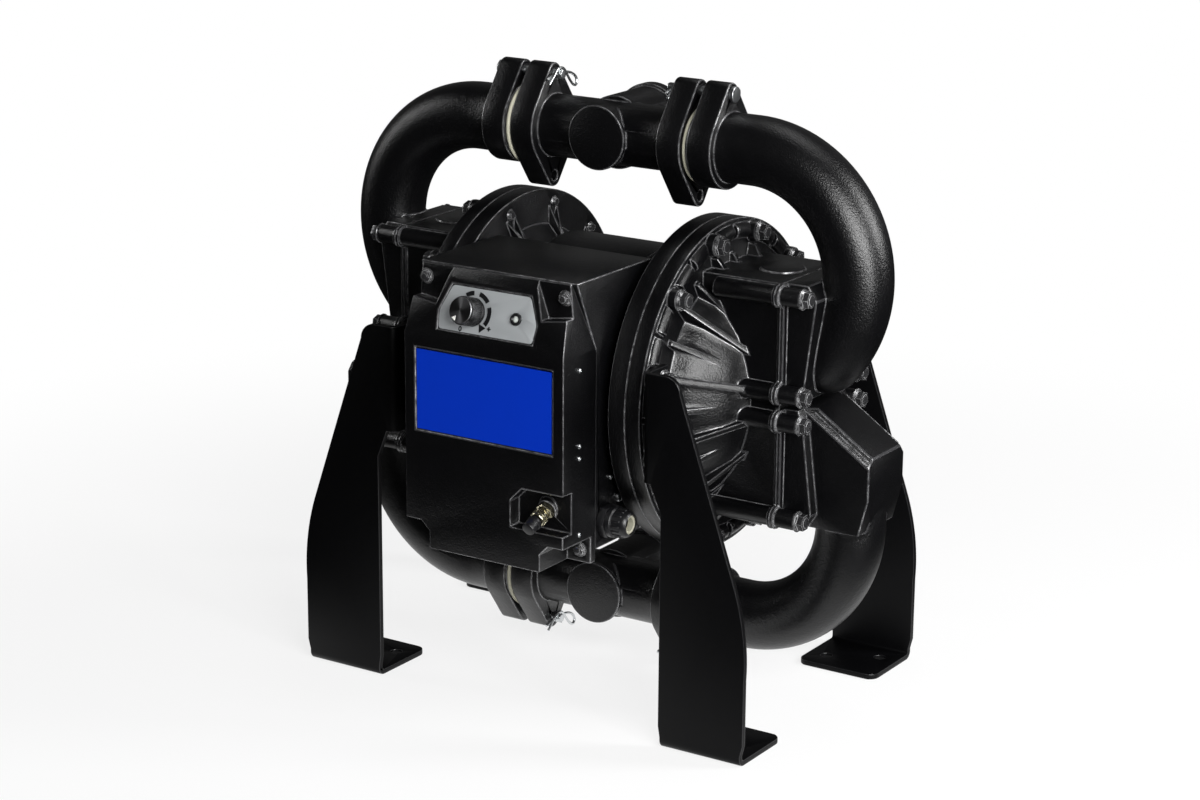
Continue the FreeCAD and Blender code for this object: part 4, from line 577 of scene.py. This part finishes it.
def hexBolt(shape, length):
    washer, collar, shank = shape["washer"], shape["collar"], shape["shank"]
    flats, top, pitch = shape["flats"], shape["head"], shape["pitch"]
    washerTop = 0.16 * top
    collarTop = 0.34 * top
    washerLine = [(washer - 0.4, 0), (washer, 0.4), (washer, washerTop - 0.3), (washer - 0.4, washerTop),
                  (collar - 0.2, washerTop)]
    collarLine = [(collar, washerTop), (collar, washerTop + 0.5), (flats / 2 + 0.3, collarTop)]
    parts = [turnedShape("washer", washerLine, 28), turnedShape("collar", collarLine, 28)]
    bpy.ops.object.select_all(action="DESELECT")
    depth = top - washerTop
    bpy.ops.mesh.primitive_cylinder_add(vertices=6, radius=flats / math.sqrt(3) * mm, depth=depth * mm,
                                        location=(0, 0, (washerTop + depth / 2) * mm))
    head = bpy.context.object
    applyPlace(head)
    selectFaces(head, lambda face: face.normal.z > 0.9)
    bpy.ops.object.mode_set(mode="EDIT")
    bpy.ops.mesh.bevel(offset=0.07 * flats * mm, segments=2, affect="EDGES")
    bpy.ops.object.mode_set(mode="OBJECT")
    crownLine = [(0.36 * flats, top - 0.4), (0.34 * flats, top + 0.25), (0.30 * flats, top + 0.4)]
    crown = turnedShape("crown", crownLine, 20)
    threadStart = shape["thread"] - length
    tail = [(shank, 0.5), (shank, threadStart)]
    for turn in range(int(shape["thread"] / pitch) - 1):
        low = threadStart - turn * pitch
        tail += [(shank - 0.7, low - 0.55), (shank, low - pitch)]
    tail += [(shank - 0.9, -length)]
    parts += [head, crown, turnedShape("shank", tail, 16)]
    return joinPieces("bolt", parts)


def ringPlaces(hand, onLegs):
    seat = boltRing["legSeat"] if onLegs else boltRing["seat"]
    places = []
    for step in range(boltRing["count"]):
        angle = math.radians(360 / boltRing["count"] * (step + 0.5))
        rise = boltRing["radius"] * math.cos(angle)
        if (abs(rise) < boltRing["legReach"]) == onLegs:
            place = (hand * seat, boltRing["radius"] * math.sin(angle), pumpAxis + rise)
            places.append((place, (hand, 0, 0), random.uniform(0, 1)))
    return places


def portPlaces():
    places = []
    for hand, port, y, z in itertools.product((-1, 1), repeat=4):
        height = pumpAxis + portBolts["centre"] + port * portBolts["spacing"] / 2 + z * portBolts["z"]
        place = (hand * portBolts["seat"], y * portBolts["y"], height)
        places.append((place, (hand, 0, 0), random.uniform(0, 1)))
    return places


def cornerPlaces():
    places = []
    for hand in (-1, 1):
        for seat, height in (cornerBolts["upper"], cornerBolts["lower"]):
            place = (hand * cornerBolts["x"], seat, pumpAxis + height)
            places.append((place, (0, -1, 0), random.uniform(0, 1)))
    return places


flangeLength = boltRing["seat"] - boltRing["tailEnd"]
legLength = boltRing["legSeat"] - boltRing["tailEnd"]
boltSets = [
    ("flangeBoltsRight", "flange_bolts_right", flangeBolt, flangeLength, ringPlaces(1, False)),
    ("flangeBoltsLeft", "flange_bolts_left", flangeBolt, flangeLength, ringPlaces(-1, False)),
    ("legBolts", "leg_bolts", flangeBolt, legLength, ringPlaces(1, True) + ringPlaces(-1, True)),
    ("elbowBolts", "elbow_bolts", flangeBolt, portBolts["depth"], portPlaces()),
    ("cornerBolts", "cover_bolts", smallBolt, cornerBolts["depth"], cornerPlaces()),
]
for setName, nodeName, shape, length, places in boltSets:
    bolts = repeatAt(setName, hexBolt(shape, length), places)
    dressPiece(bolts, "blackFastener", [nodeName])
print("bolts made")


# Pipe joints: bulging seals, pins with rounded heads and wire hairpins

pipeJoint = {
    "reach": 255.5, "lobe": 56.0, "clipX": 74.4, "wire": 1.5,
    "sealStart": 107.0, "sealWidth": 5.0, "sealRadius": {-1: 44.0, 1: 39.4},    # radius on the left and right
    "sealLip": 0.6, "sealBulge": 2.0, "sealBore": 29.0,
}
hairpinLine = [(0, -21, -4), (0, -13, -1), (0, 0, 0), (0, 16, 0.5), (0, 29, -3), (1, 36, -9), (2, 34, -17),
               (3, 25, -16), (3.4, 14, -4), (3.2, 7, 6), (3.2, 0, 7.2), (3, -7, 5), (3, -14, -3),
               (3, -21, -9)]


def bulgingSeal(hand):
    # the seals on the left are squeezed out further than those on the right
    width, lip, bulge, bore = (pipeJoint[key] for key in ("sealWidth", "sealLip", "sealBulge", "sealBore"))
    radius = pipeJoint["sealRadius"][hand]
    steps = 6
    outer = [(radius - lip + (bulge + lip) * math.sin(math.pi * step / steps) ** 0.7, width * step / steps)
             for step in range(steps + 1)]
    return turnedShape("seal", outer + [(bore, width), (bore, 0), outer[0]], 64, hollow=True)


def wireHairpin():
    bpy.ops.object.select_all(action="DESELECT")
    bpy.ops.curve.primitive_nurbs_path_add(location=(0, 0, 0))
    wire = bpy.context.object
    spline = wire.data.splines[0]
    spline.points.add(len(hairpinLine) - len(spline.points))
    for point, place in zip(spline.points, hairpinLine):
        point.co = (*(Vector(place) * mm), 1)
    spline.order_u = 4
    spline.use_endpoint_u = True
    spline.resolution_u = 6
    wire.data.bevel_depth = pipeJoint["wire"] * mm
    wire.data.bevel_resolution = 2
    wire.data.use_fill_caps = True
    bpy.ops.object.convert(target="MESH")
    wire = bpy.context.object
    bpy.ops.object.mode_set(mode="EDIT")
    bpy.ops.mesh.select_all(action="SELECT")
    bpy.ops.mesh.remove_doubles(threshold=mergeGap)
    bpy.ops.mesh.fill_holes(sides=0)
    bpy.ops.mesh.normals_make_consistent(inside=False)
    bpy.ops.object.mode_set(mode="OBJECT")
    return wire


jointEnds = list(itertools.product((-1, 1), repeat=2))
seals = []
for hand, side in jointEnds:
    foot = (hand * pipeJoint["sealStart"], 0, pumpAxis + side * pipeJoint["reach"])
    seals.append(seatPiece(bulgingSeal(hand), foot, (hand, 0, 0)))
dressPiece(joinPieces("jointSeals", seals), "creamGasket", ["joint_gaskets"])
hairpins = []
for hand, side in jointEnds:
    height = pumpAxis + side * (pipeJoint["reach"] + pipeJoint["lobe"])
    hairpins.append(seatPiece(wireHairpin(), (hand * pipeJoint["clipX"], 0, height)))
dressPiece(joinPieces("wireHairpins", hairpins), "zincSteel", ["hairpin_clips"], smoothAngle=60)
roundedNode("clevis_pins", 1.1 * mm, segments=3)
print("pipe joints made")


# Three raised ridges along each bevelled edge of the inlet elbows' hoods

hoodRidges = {
    "upper": ((275.5, 31.0, 342.7), (334.5, 31.0, 303.3)),    # the two lines that the ridges lie between
    "lower": ((266.0, 39.0, 339.4), (334.5, 39.0, 293.7)),
    "shares": (0.14, 0.5, 0.86), "width": 1.9, "height": 1.0, "topShare": 0.45, "rounding": 0.2,
}


def makeHoodRidges():
    ridges = []
    for hand in (-1, 1):
        for side in (-1, 1):
            flip = Vector((hand, side, 1))
            upper, lower = ([Vector(point) * flip for point in hoodRidges[key]] for key in ("upper", "lower"))
            for share in hoodRidges["shares"]:
                start, end = (high.lerp(low, share) for high, low in zip(upper, lower))
                along = end - start
                outwards = along.cross(lower[0] - upper[0]) * (hand * side)
                ridge = blockShape("ridge", along.length, hoodRidges["width"], hoodRidges["height"],
                                   hoodRidges["topShare"], hoodRidges["rounding"])
                ridges.append(seatPiece(ridge, (start + end) / 2, outwards, across=along))
    # the ridges take the lighter edge finish, a painted highlight along them with rubbed paint
    dressPiece(joinPieces("hoodRidges", ridges), "edgeWearAndHighlightCasting")


makeHoodRidges()
print("hood ridges made")


# Console: panel with rounded corners, knob, scale and status light

consoleFrame = {"foot": (0.0, -248.0, pumpAxis + 74.0), "tilt": 17.0}


def consolePlace(x, v, lift):
    tilt = math.radians(consoleFrame["tilt"])
    foot = Vector(consoleFrame["foot"])
    up = Vector((0, math.sin(tilt), math.cos(tilt)))
    outwards = Vector((0, -math.cos(tilt), math.sin(tilt)))
    return foot + Vector((x, 0, 0)) + up * v + outwards * lift


consoleOut = consolePlace(0, 0, 1) - consolePlace(0, 0, 0)
panelShape = {"cornersPast": 44.0, "cornerRadius": 3.2, "edgeRadius": 0.25}
knobShape = {"x": -18.0, "v": 32.0, "skirt": 15.0, "grip": 14.6, "face": 13.6, "top": 24.0,
             "ribs": 48, "ribStart": 4.4, "ribLength": 16.6, "pointerTurn": 236}
knobFaceLook = {
    "colour": (0.30, 0.30, 0.31), "edgeWearAndHighlightColour": (0.6, 0.6, 0.6), "roughness": 0.30, "glossChange": 0.1,
    "grainScale": 1800.0, "bump": 0.05, "depth": 0.0001, "edgeWidth": 0.0004, "edgeAmount": 0.4,
    "specular": 0.5, "metallic": 1.0, "anisotropic": 0.85, "axis": tuple(consoleOut),
    "centre": tuple(consolePlace(knobShape["x"], knobShape["v"], knobShape["top"]) * mm),
}
materials["knobFace"] = turnedSurface("knobFace", knobFaceLook)
scaleShape = {
    "inner": 17.2, "outer": 22.0, "sheet": 0.3, "sunk": 0.4, "arcs": ((98, 126), (38, 77), (-35, 21)),
    "tip": -50, "arrow": 5.4, "plus": (22.0, -14.5), "plusBar": (4.6, 1.4),
    "zero": (-13.0, -18.9), "zeroRing": (2.6, 1.4), "zeroStretch": (0.75, 1.1),
}
lightShape = {"x": 35.0, "v": 32.0, "bezel": 6.6, "lens": 2.9, "stand": 1.8}


def onConsole(piece, x, v, lift, spin=0.0):
    return seatPiece(piece, consolePlace(x, v, lift), consoleOut, spin, across=(1, 0, 0))


def roundedPanel():
    panel = joinedCopy("control_panel")
    selectOnly(panel)
    bpy.ops.object.mode_set(mode="EDIT")
    bpy.ops.mesh.select_mode(type="EDGE")
    bpy.ops.mesh.select_all(action="DESELECT")
    bpy.ops.object.mode_set(mode="OBJECT")
    points = panel.data.vertices
    for edge in panel.data.edges:
        start, end = (points[index].co for index in edge.vertices)
        along = (end - start).normalized()
        edge.select = abs(along.dot(consoleOut)) > 0.99 and abs(start.x) > panelShape["cornersPast"] * mm
    bpy.ops.object.mode_set(mode="EDIT")
    bpy.ops.mesh.bevel(offset=panelShape["cornerRadius"] * mm, segments=4, affect="EDGES")
    bpy.ops.object.mode_set(mode="OBJECT")
    applyModifier(panel, "BEVEL", width=panelShape["edgeRadius"] * mm, segments=2, limit_method="ANGLE")
    return dressPiece(panel, "silverPanel", ["control_panel"], smoothAngle=30)


def makeKnob():
    x, v, length = knobShape["x"], knobShape["v"], knobShape["ribLength"]
    skirt, grip, face, top = (knobShape[key] for key in ("skirt", "grip", "face", "top"))
    bodyLine = [(skirt - 0.6, 0.4), (skirt, 1.0), (skirt, 3.2), (skirt - 0.5, 3.8), (grip - 0.6, 4.2),
                (grip - 0.6, top - 2.0), (grip - 1.4, top - 1.0), (face + 0.3, top - 0.9)]
    ribs = ribsRound(knobShape["ribs"], grip - 0.9, knobShape["ribStart"] + length / 2, length, 1.1, 1.4)
    grips = joinPieces("speedKnobBody", [turnedShape("body", bodyLine, 64)] + ribs)
    dressPiece(onConsole(grips, x, v, 0), "knobMetal", ["speed_knob"], "knob")
    capLine = [(face, top - 1.2), (face, top - 0.5), (face - 0.4, top - 0.15), (face * 0.5, top - 0.1),
               (0.8, top)]
    cap = turnedShape("speedKnobFace", capLine, 64)
    dressPiece(onConsole(cap, x, v, 0), "knobFace", [], "knob")
    mark = turnedShape("speedKnobPointer", [(3.3, 0), (3.0, 0.8)], 3)
    turn = math.radians(knobShape["pointerTurn"])
    middle = Vector((math.cos(turn), math.sin(turn))) * (face - 3.0)
    pointer = onConsole(mark, x + middle.x, v + middle.y, top - 0.5, turn + math.pi / 2)
    dressPiece(pointer, "whitePolymer", [], "knob")


def scaleArc(startAngle, endAngle):
    # a short radial bar swept round the knob's centre
    inner, outer, sheet = scaleShape["inner"], scaleShape["outer"], scaleShape["sheet"]
    piece = blockShape("speedScale", length=outer - inner, width=0.2, height=sheet)
    seatPiece(piece, ((inner + outer) / 2, 0, 0))
    selectFaces(piece, lambda face: face.normal.y > 0.9)
    bpy.ops.object.mode_set(mode="EDIT")
    sweep = math.radians(startAngle - endAngle)
    bpy.ops.mesh.spin(steps=12, angle=sweep, center=(0, 0, 0), axis=(0, 0, 1))
    bpy.ops.object.mode_set(mode="OBJECT")
    return seatPiece(piece, (0, 0, 0), spin=math.radians(startAngle))


def makeScale():
    sheet, arrow = scaleShape["sheet"], scaleShape["arrow"]
    pieces = [scaleArc(start, end) for start, end in scaleShape["arcs"]]
    head = turnedShape("arrow", [(arrow, 0), (arrow, sheet)], 3)
    tip = math.radians(scaleShape["tip"])
    reach = (scaleShape["inner"] + scaleShape["outer"]) / 2
    tipPlace = (reach * math.cos(tip), reach * math.sin(tip), 0)
    pieces.append(seatPiece(head, tipPlace, spin=tip - math.radians(150)))
    for width, height in (scaleShape["plusBar"], scaleShape["plusBar"][::-1]):
        bar = blockShape("plus", width, height, sheet)
        pieces.append(seatPiece(bar, (*scaleShape["plus"], 0)))
    outer, inner = scaleShape["zeroRing"]
    ringLine = [(outer, 0), (outer, sheet), (inner, sheet), (inner, 0), (outer, 0)]
    ring = turnedShape("zero", ringLine, 20, hollow=True)
    ring.scale = (*scaleShape["zeroStretch"], 1)
    applyPlace(ring)
    pieces.append(seatPiece(ring, (*scaleShape["zero"], 0)))
    scale = joinPieces("speedScale", pieces)
    seated = onConsole(scale, knobShape["x"], knobShape["v"], -scaleShape["sunk"])
    dressPiece(seated, "blackPlastic")


def makeStatusLight():
    x, v = lightShape["x"], lightShape["v"]
    bezel, lens, stand = lightShape["bezel"], lightShape["lens"], lightShape["stand"]
    ringLine = [(bezel, -0.4), (bezel, stand * 0.4), (bezel - 0.7, stand), (lens + 1.2, stand),
                (lens + 0.4, stand * 0.5), (lens + 0.4, -0.4), (bezel, -0.4)]
    ring = turnedShape("statusBezel", ringLine, 40, hollow=True)
    dressPiece(onConsole(ring, x, v, 0), "blackPlastic", ["status_light"])
    glassLine = [(lens + 0.4, -0.3), (lens + 0.4, 0.3), (lens * 0.8, 0.9), (lens * 0.4, 1.2), (0.3, 1.3)]
    glass = turnedShape("statusLens", glassLine, 32)
    dressPiece(onConsole(glass, x, v, 0), "pilotLens", ["status_light"])


roundedPanel()
makeKnob()
makeScale()
makeStatusLight()
print("console made")


# Connector: a hexagon nut, a knurled ring and a round cap along the tilted axis

plugFrame = {"foot": (70.5, -232.0, pumpAxis - 91.0), "tilt": 20.0,
             "teeth": 26, "toothRadius": 8.1, "toothHeight": 17.8, "toothLength": 6.8}


def makeConnector():
    tilt = math.radians(plugFrame["tilt"])
    outwards = (0, -math.cos(tilt), -math.sin(tilt))
    nut = turnedShape("nut", [(9.4, 3.0), (9.8, 3.5), (9.8, 8.2), (9.0, 9.0)], 6)
    collarLine = [(6.0, 9.0), (7.4, 9.3), (7.4, 11.0), (5.8, 11.4), (5.8, 13.0), (7.8, 13.3),
                  (8.3, 14.0), (8.3, 21.6), (7.7, 22.6), (6.2, 23.0)]
    collar = turnedShape("collar", collarLine, 40)
    teeth = ribsRound(plugFrame["teeth"], plugFrame["toothRadius"], plugFrame["toothHeight"],
                      plugFrame["toothLength"], 1.1, 0.8)
    ring = joinPieces("connectorNut", [nut, collar] + teeth)
    dressPiece(seatPiece(ring, plugFrame["foot"], outwards), "nickelBrass", ["connector_nut"])
    capLine = [(7.0, 25.6), (7.9, 26.0), (7.9, 29.0), (7.3, 29.5), (7.3, 38.2), (6.7, 39.4), (5.2, 40.0)]
    cap = seatPiece(turnedShape("connectorCap", capLine, 40), plugFrame["foot"], outwards)
    dressPiece(cap, "blackPlastic", ["connector_cap"])


# Cable gland: hexagon body, ribbed clamping nut and the pale seal inside it

glandFrame = {"foot": (97.0, -166.0, pumpAxis - 117.0), "nutEnd": 33.0,
              "ribs": 16, "ribRadius": 14.2, "ribHeight": 21.6, "ribLength": 10.5}


def makeGland():
    foot, out, end = glandFrame["foot"], (1, 0, 0), glandFrame["nutEnd"]
    nutLine = [(16.2, 9.6), (17.0, 10.4), (17.0, 15.0), (16.0, 15.8), (14.6, 16.4), (14.6, 26.5),
               (13.6, 30.0), (11.8, end - 0.6), (10.6, end), (10.2, end - 0.6), (10.2, 22.0)]
    ribs = ribsRound(glandFrame["ribs"], glandFrame["ribRadius"], glandFrame["ribHeight"],
                     glandFrame["ribLength"], 2.2, 1.5, topShare=0.5, rounding=0.3)
    nut = joinPieces("glandNut", [turnedShape("nut", nutLine, 48)] + ribs)
    dressPiece(seatPiece(nut, foot, out), "blackPlastic", ["gland_nut"])
    sealLine = [(10.0, 24.0), (10.0, end - 2.2), (8.8, end - 1.4), (7.2, end - 2.4), (7.0, 24.0),
                (10.0, 24.0)]
    seal = turnedShape("glandSeal", sealLine, 40, hollow=True)
    dressPiece(seatPiece(seal, foot, out), "creamGasket", ["gland_seal"])
    roundedNode("gland_body", 0.7 * mm)


makeConnector()
makeGland()
print("connector and gland made")


# Small fixings: round-headed screws and the housing's round plug

screwPlaces = {"wall": 99.0, "y": -218.0, "heights": (56.0, -24.0, -37.0, -119.0), "radius": 2.6, "head": 1.6}
housingFixings = {"wall": 97.0, "screw": (-155.5, -73.0), "plug": (-140.0, -99.0)}    # Y, and Z from the axis


def panHead(radius, head):
    domeLine = [(radius, 0), (radius, head * 0.35), (radius * 0.82, head * 0.8), (radius * 0.5, head),
                (radius * 0.42, head), (radius * 0.36, head * 0.45)]
    return turnedShape("screw", domeLine, 24)


def onHousing(key):
    y, height = housingFixings[key]
    return (housingFixings["wall"], y, pumpAxis + height)


def makeScrews():
    wall, y = screwPlaces["wall"], screwPlaces["y"]
    places = [((hand * wall, y, pumpAxis + height), (hand, 0, 0), 0.0)
              for hand in (-1, 1) for height in screwPlaces["heights"]]
    places.append((onHousing("screw"), (1, 0, 0), 0.0))
    screws = repeatAt("sideScrews", panHead(screwPlaces["radius"], screwPlaces["head"]), places)
    dressPiece(screws, "zincSteel", ["side_screws"])
    plug = turnedShape("housingPlug", [(5.0, 0), (5.0, 1.6), (4.4, 2.6), (3.2, 3.0), (2.9, 2.0)], 32)
    dressPiece(seatPiece(plug, onHousing("plug"), (1, 0, 0)), "zincSteel", ["housing_plug"])


makeScrews()
print("small fixings made")


# Floor, backdrop and lights

stagePlan = {
    "floorSize": 14.0, "floorLevel": -0.0002, "floorColour": 0.85,
    "floorGlow": (0.80, 1.0),         # share of plain white that the camera sees, near the object and far off
    "glowTurn": (0.55, 1.5),          # where the one turns into the other, from the middle
    "floorSheen": (0.9, 0.33, 0.62),  # what polished surfaces see of the floor near by, and where that ends
    "worldDiffuse": 0.12,             # light that the room gives to matt surfaces
    "roomDark": 0.015,                # what polished surfaces see of the room on the camera's side
    "roomPale": 0.09,                 # and behind the object, where it is a little paler
    "roomTurn": (0.1, 0.9),           # where the one turns into the other, along Y
}


def polishedRays(tree, path):
    # 1 for the rays that polished and clear surfaces send out
    polished = addNode(tree, "ShaderNodeMath", {"operation": "MAXIMUM"})
    tree.links.new(path.outputs["Is Glossy Ray"], polished.inputs[0])
    tree.links.new(path.outputs["Is Transmission Ray"], polished.inputs[1])
    return polished.outputs[0]


def makeFloor(plan):
    bpy.ops.object.select_all(action="DESELECT")
    bpy.ops.mesh.primitive_plane_add(size=plan["floorSize"], location=(0, 0, plan["floorLevel"]))
    floor = bpy.context.object
    floor.name = "studioFloor"
    material = bpy.data.materials.new("studioFloorPaint")
    material.use_nodes = True
    tree = material.node_tree
    tree.nodes.clear()
    output = tree.nodes.new("ShaderNodeOutputMaterial")
    matt = addNode(tree, "ShaderNodeBsdfDiffuse", {"Color": (plan["floorColour"],) * 3 + (1,)})
    glow = addNode(tree, "ShaderNodeEmission", {"Color": (1, 1, 1, 1), "Strength": 1.0})
    path = tree.nodes.new("ShaderNodeLightPath")
    place = tree.nodes.new("ShaderNodeTexCoord")
    reach = addNode(tree, "ShaderNodeVectorMath", {"operation": "LENGTH"})
    tree.links.new(place.outputs["Object"], reach.inputs[0])
    glowNear, glowFar = plan["floorGlow"]
    turnStart, turnEnd = plan["glowTurn"]
    white = addNode(tree, "ShaderNodeMapRange", {
        "interpolation_type": "SMOOTHSTEP", "From Min": turnStart, "From Max": turnEnd,
        "To Min": glowNear, "To Max": glowFar})
    tree.links.new(reach.outputs["Value"], white.inputs["Value"])
    share = addNode(tree, "ShaderNodeMath", {"operation": "MULTIPLY"})
    tree.links.new(path.outputs["Is Camera Ray"], share.inputs[0])
    tree.links.new(white.outputs["Result"], share.inputs[1])
    mix = tree.nodes.new("ShaderNodeMixShader")
    tree.links.new(share.outputs[0], mix.inputs[0])
    tree.links.new(matt.outputs[0], mix.inputs[1])
    tree.links.new(glow.outputs[0], mix.inputs[2])
    # polished surfaces see the pale floor close to the object, and further off it is as dark as the room
    sheen, sheenStart, sheenEnd = plan["floorSheen"]
    seen = addNode(tree, "ShaderNodeMapRange", {
        "interpolation_type": "SMOOTHSTEP", "From Min": sheenStart, "From Max": sheenEnd,
        "To Min": sheen, "To Max": plan["roomDark"]})
    tree.links.new(reach.outputs["Value"], seen.inputs["Value"])
    mirrored = addNode(tree, "ShaderNodeEmission", {"Color": (1, 1, 1, 1)})
    tree.links.new(seen.outputs["Result"], mirrored.inputs["Strength"])
    either = tree.nodes.new("ShaderNodeMixShader")
    tree.links.new(polishedRays(tree, path), either.inputs[0])
    tree.links.new(mix.outputs[0], either.inputs[1])
    tree.links.new(mirrored.outputs[0], either.inputs[2])
    tree.links.new(either.outputs[0], output.inputs["Surface"])
    floor.data.materials.append(material)


def makeWorld(plan):
    # plain white for the camera, while polished surfaces see a dark room that is paler behind the object
    world = bpy.data.worlds.new("studioWorld")
    bpy.context.scene.world = world
    world.use_nodes = True
    tree = world.node_tree
    tree.nodes.clear()
    output = tree.nodes.new("ShaderNodeOutputWorld")
    path = tree.nodes.new("ShaderNodeLightPath")
    place = tree.nodes.new("ShaderNodeTexCoord")
    axes = addNode(tree, "ShaderNodeSeparateXYZ", Vector=place.outputs["Generated"])
    turnStart, turnEnd = plan["roomTurn"]
    room = addNode(tree, "ShaderNodeMapRange", {
        "interpolation_type": "SMOOTHSTEP", "From Min": turnStart, "From Max": turnEnd,
        "To Min": plan["roomDark"], "To Max": plan["roomPale"]})
    tree.links.new(axes.outputs["Y"], room.inputs["Value"])
    forPiece = addNode(tree, "ShaderNodeMix", {"data_type": "FLOAT"})
    tree.links.new(polishedRays(tree, path), forPiece.inputs["Factor"])
    forPiece.inputs[2].default_value = plan["worldDiffuse"]    # 2 and 3 are the two values that it mixes
    tree.links.new(room.outputs["Result"], forPiece.inputs[3])
    forCamera = addNode(tree, "ShaderNodeMix", {"data_type": "FLOAT"})
    tree.links.new(path.outputs["Is Camera Ray"], forCamera.inputs["Factor"])
    tree.links.new(forPiece.outputs[0], forCamera.inputs[2])
    forCamera.inputs[3].default_value = 1.0
    sky = addNode(tree, "ShaderNodeBackground", {"Color": (1, 1, 1, 1)})
    tree.links.new(forCamera.outputs[0], sky.inputs["Strength"])
    tree.links.new(sky.outputs[0], output.inputs["Surface"])


softBoxes = {
    "overheadBox": {"place": (0.2, 0.5, 2.6), "aim": (0.0, 0.0, 0.35), "size": (1.5, 0.5), "power": 7},
    "rightStrip": {"place": (2.1, 0.9, 1.5), "aim": (0.2, 0.0, 0.45), "size": (0.60, 1.5), "power": 46},
    "keyBox": {"place": (2.1, -1.9, 1.55), "aim": (0.1, 0.0, 0.35), "size": (1.0, 1.2), "power": 70},
    "sideBox": {"place": (2.4, -1.0, 0.85), "aim": (0.2, 0.0, 0.40), "size": (0.5, 1.6), "power": 45},
    "leftStrip": {"place": (-2.2, -0.6, 1.2), "aim": (-0.1, 0.0, 0.35), "size": (0.25, 1.3), "power": 9},
}


def makeLights(boxes):
    for name, box in boxes.items():
        bpy.ops.object.light_add(type="AREA", location=box["place"])
        lamp = bpy.context.object
        lamp.name = name
        lamp.data.shape = "RECTANGLE"
        lamp.data.size, lamp.data.size_y = box["size"]
        lamp.data.energy = box["power"]
        aim = Vector(box["aim"]) - Vector(box["place"])
        lamp.rotation_euler = aim.to_track_quat("-Z", "Y").to_euler()


makeFloor(stagePlan)
makeWorld(stagePlan)
makeLights(softBoxes)
bpy.context.scene.view_settings.view_transform = "Standard"
print("studio ready")
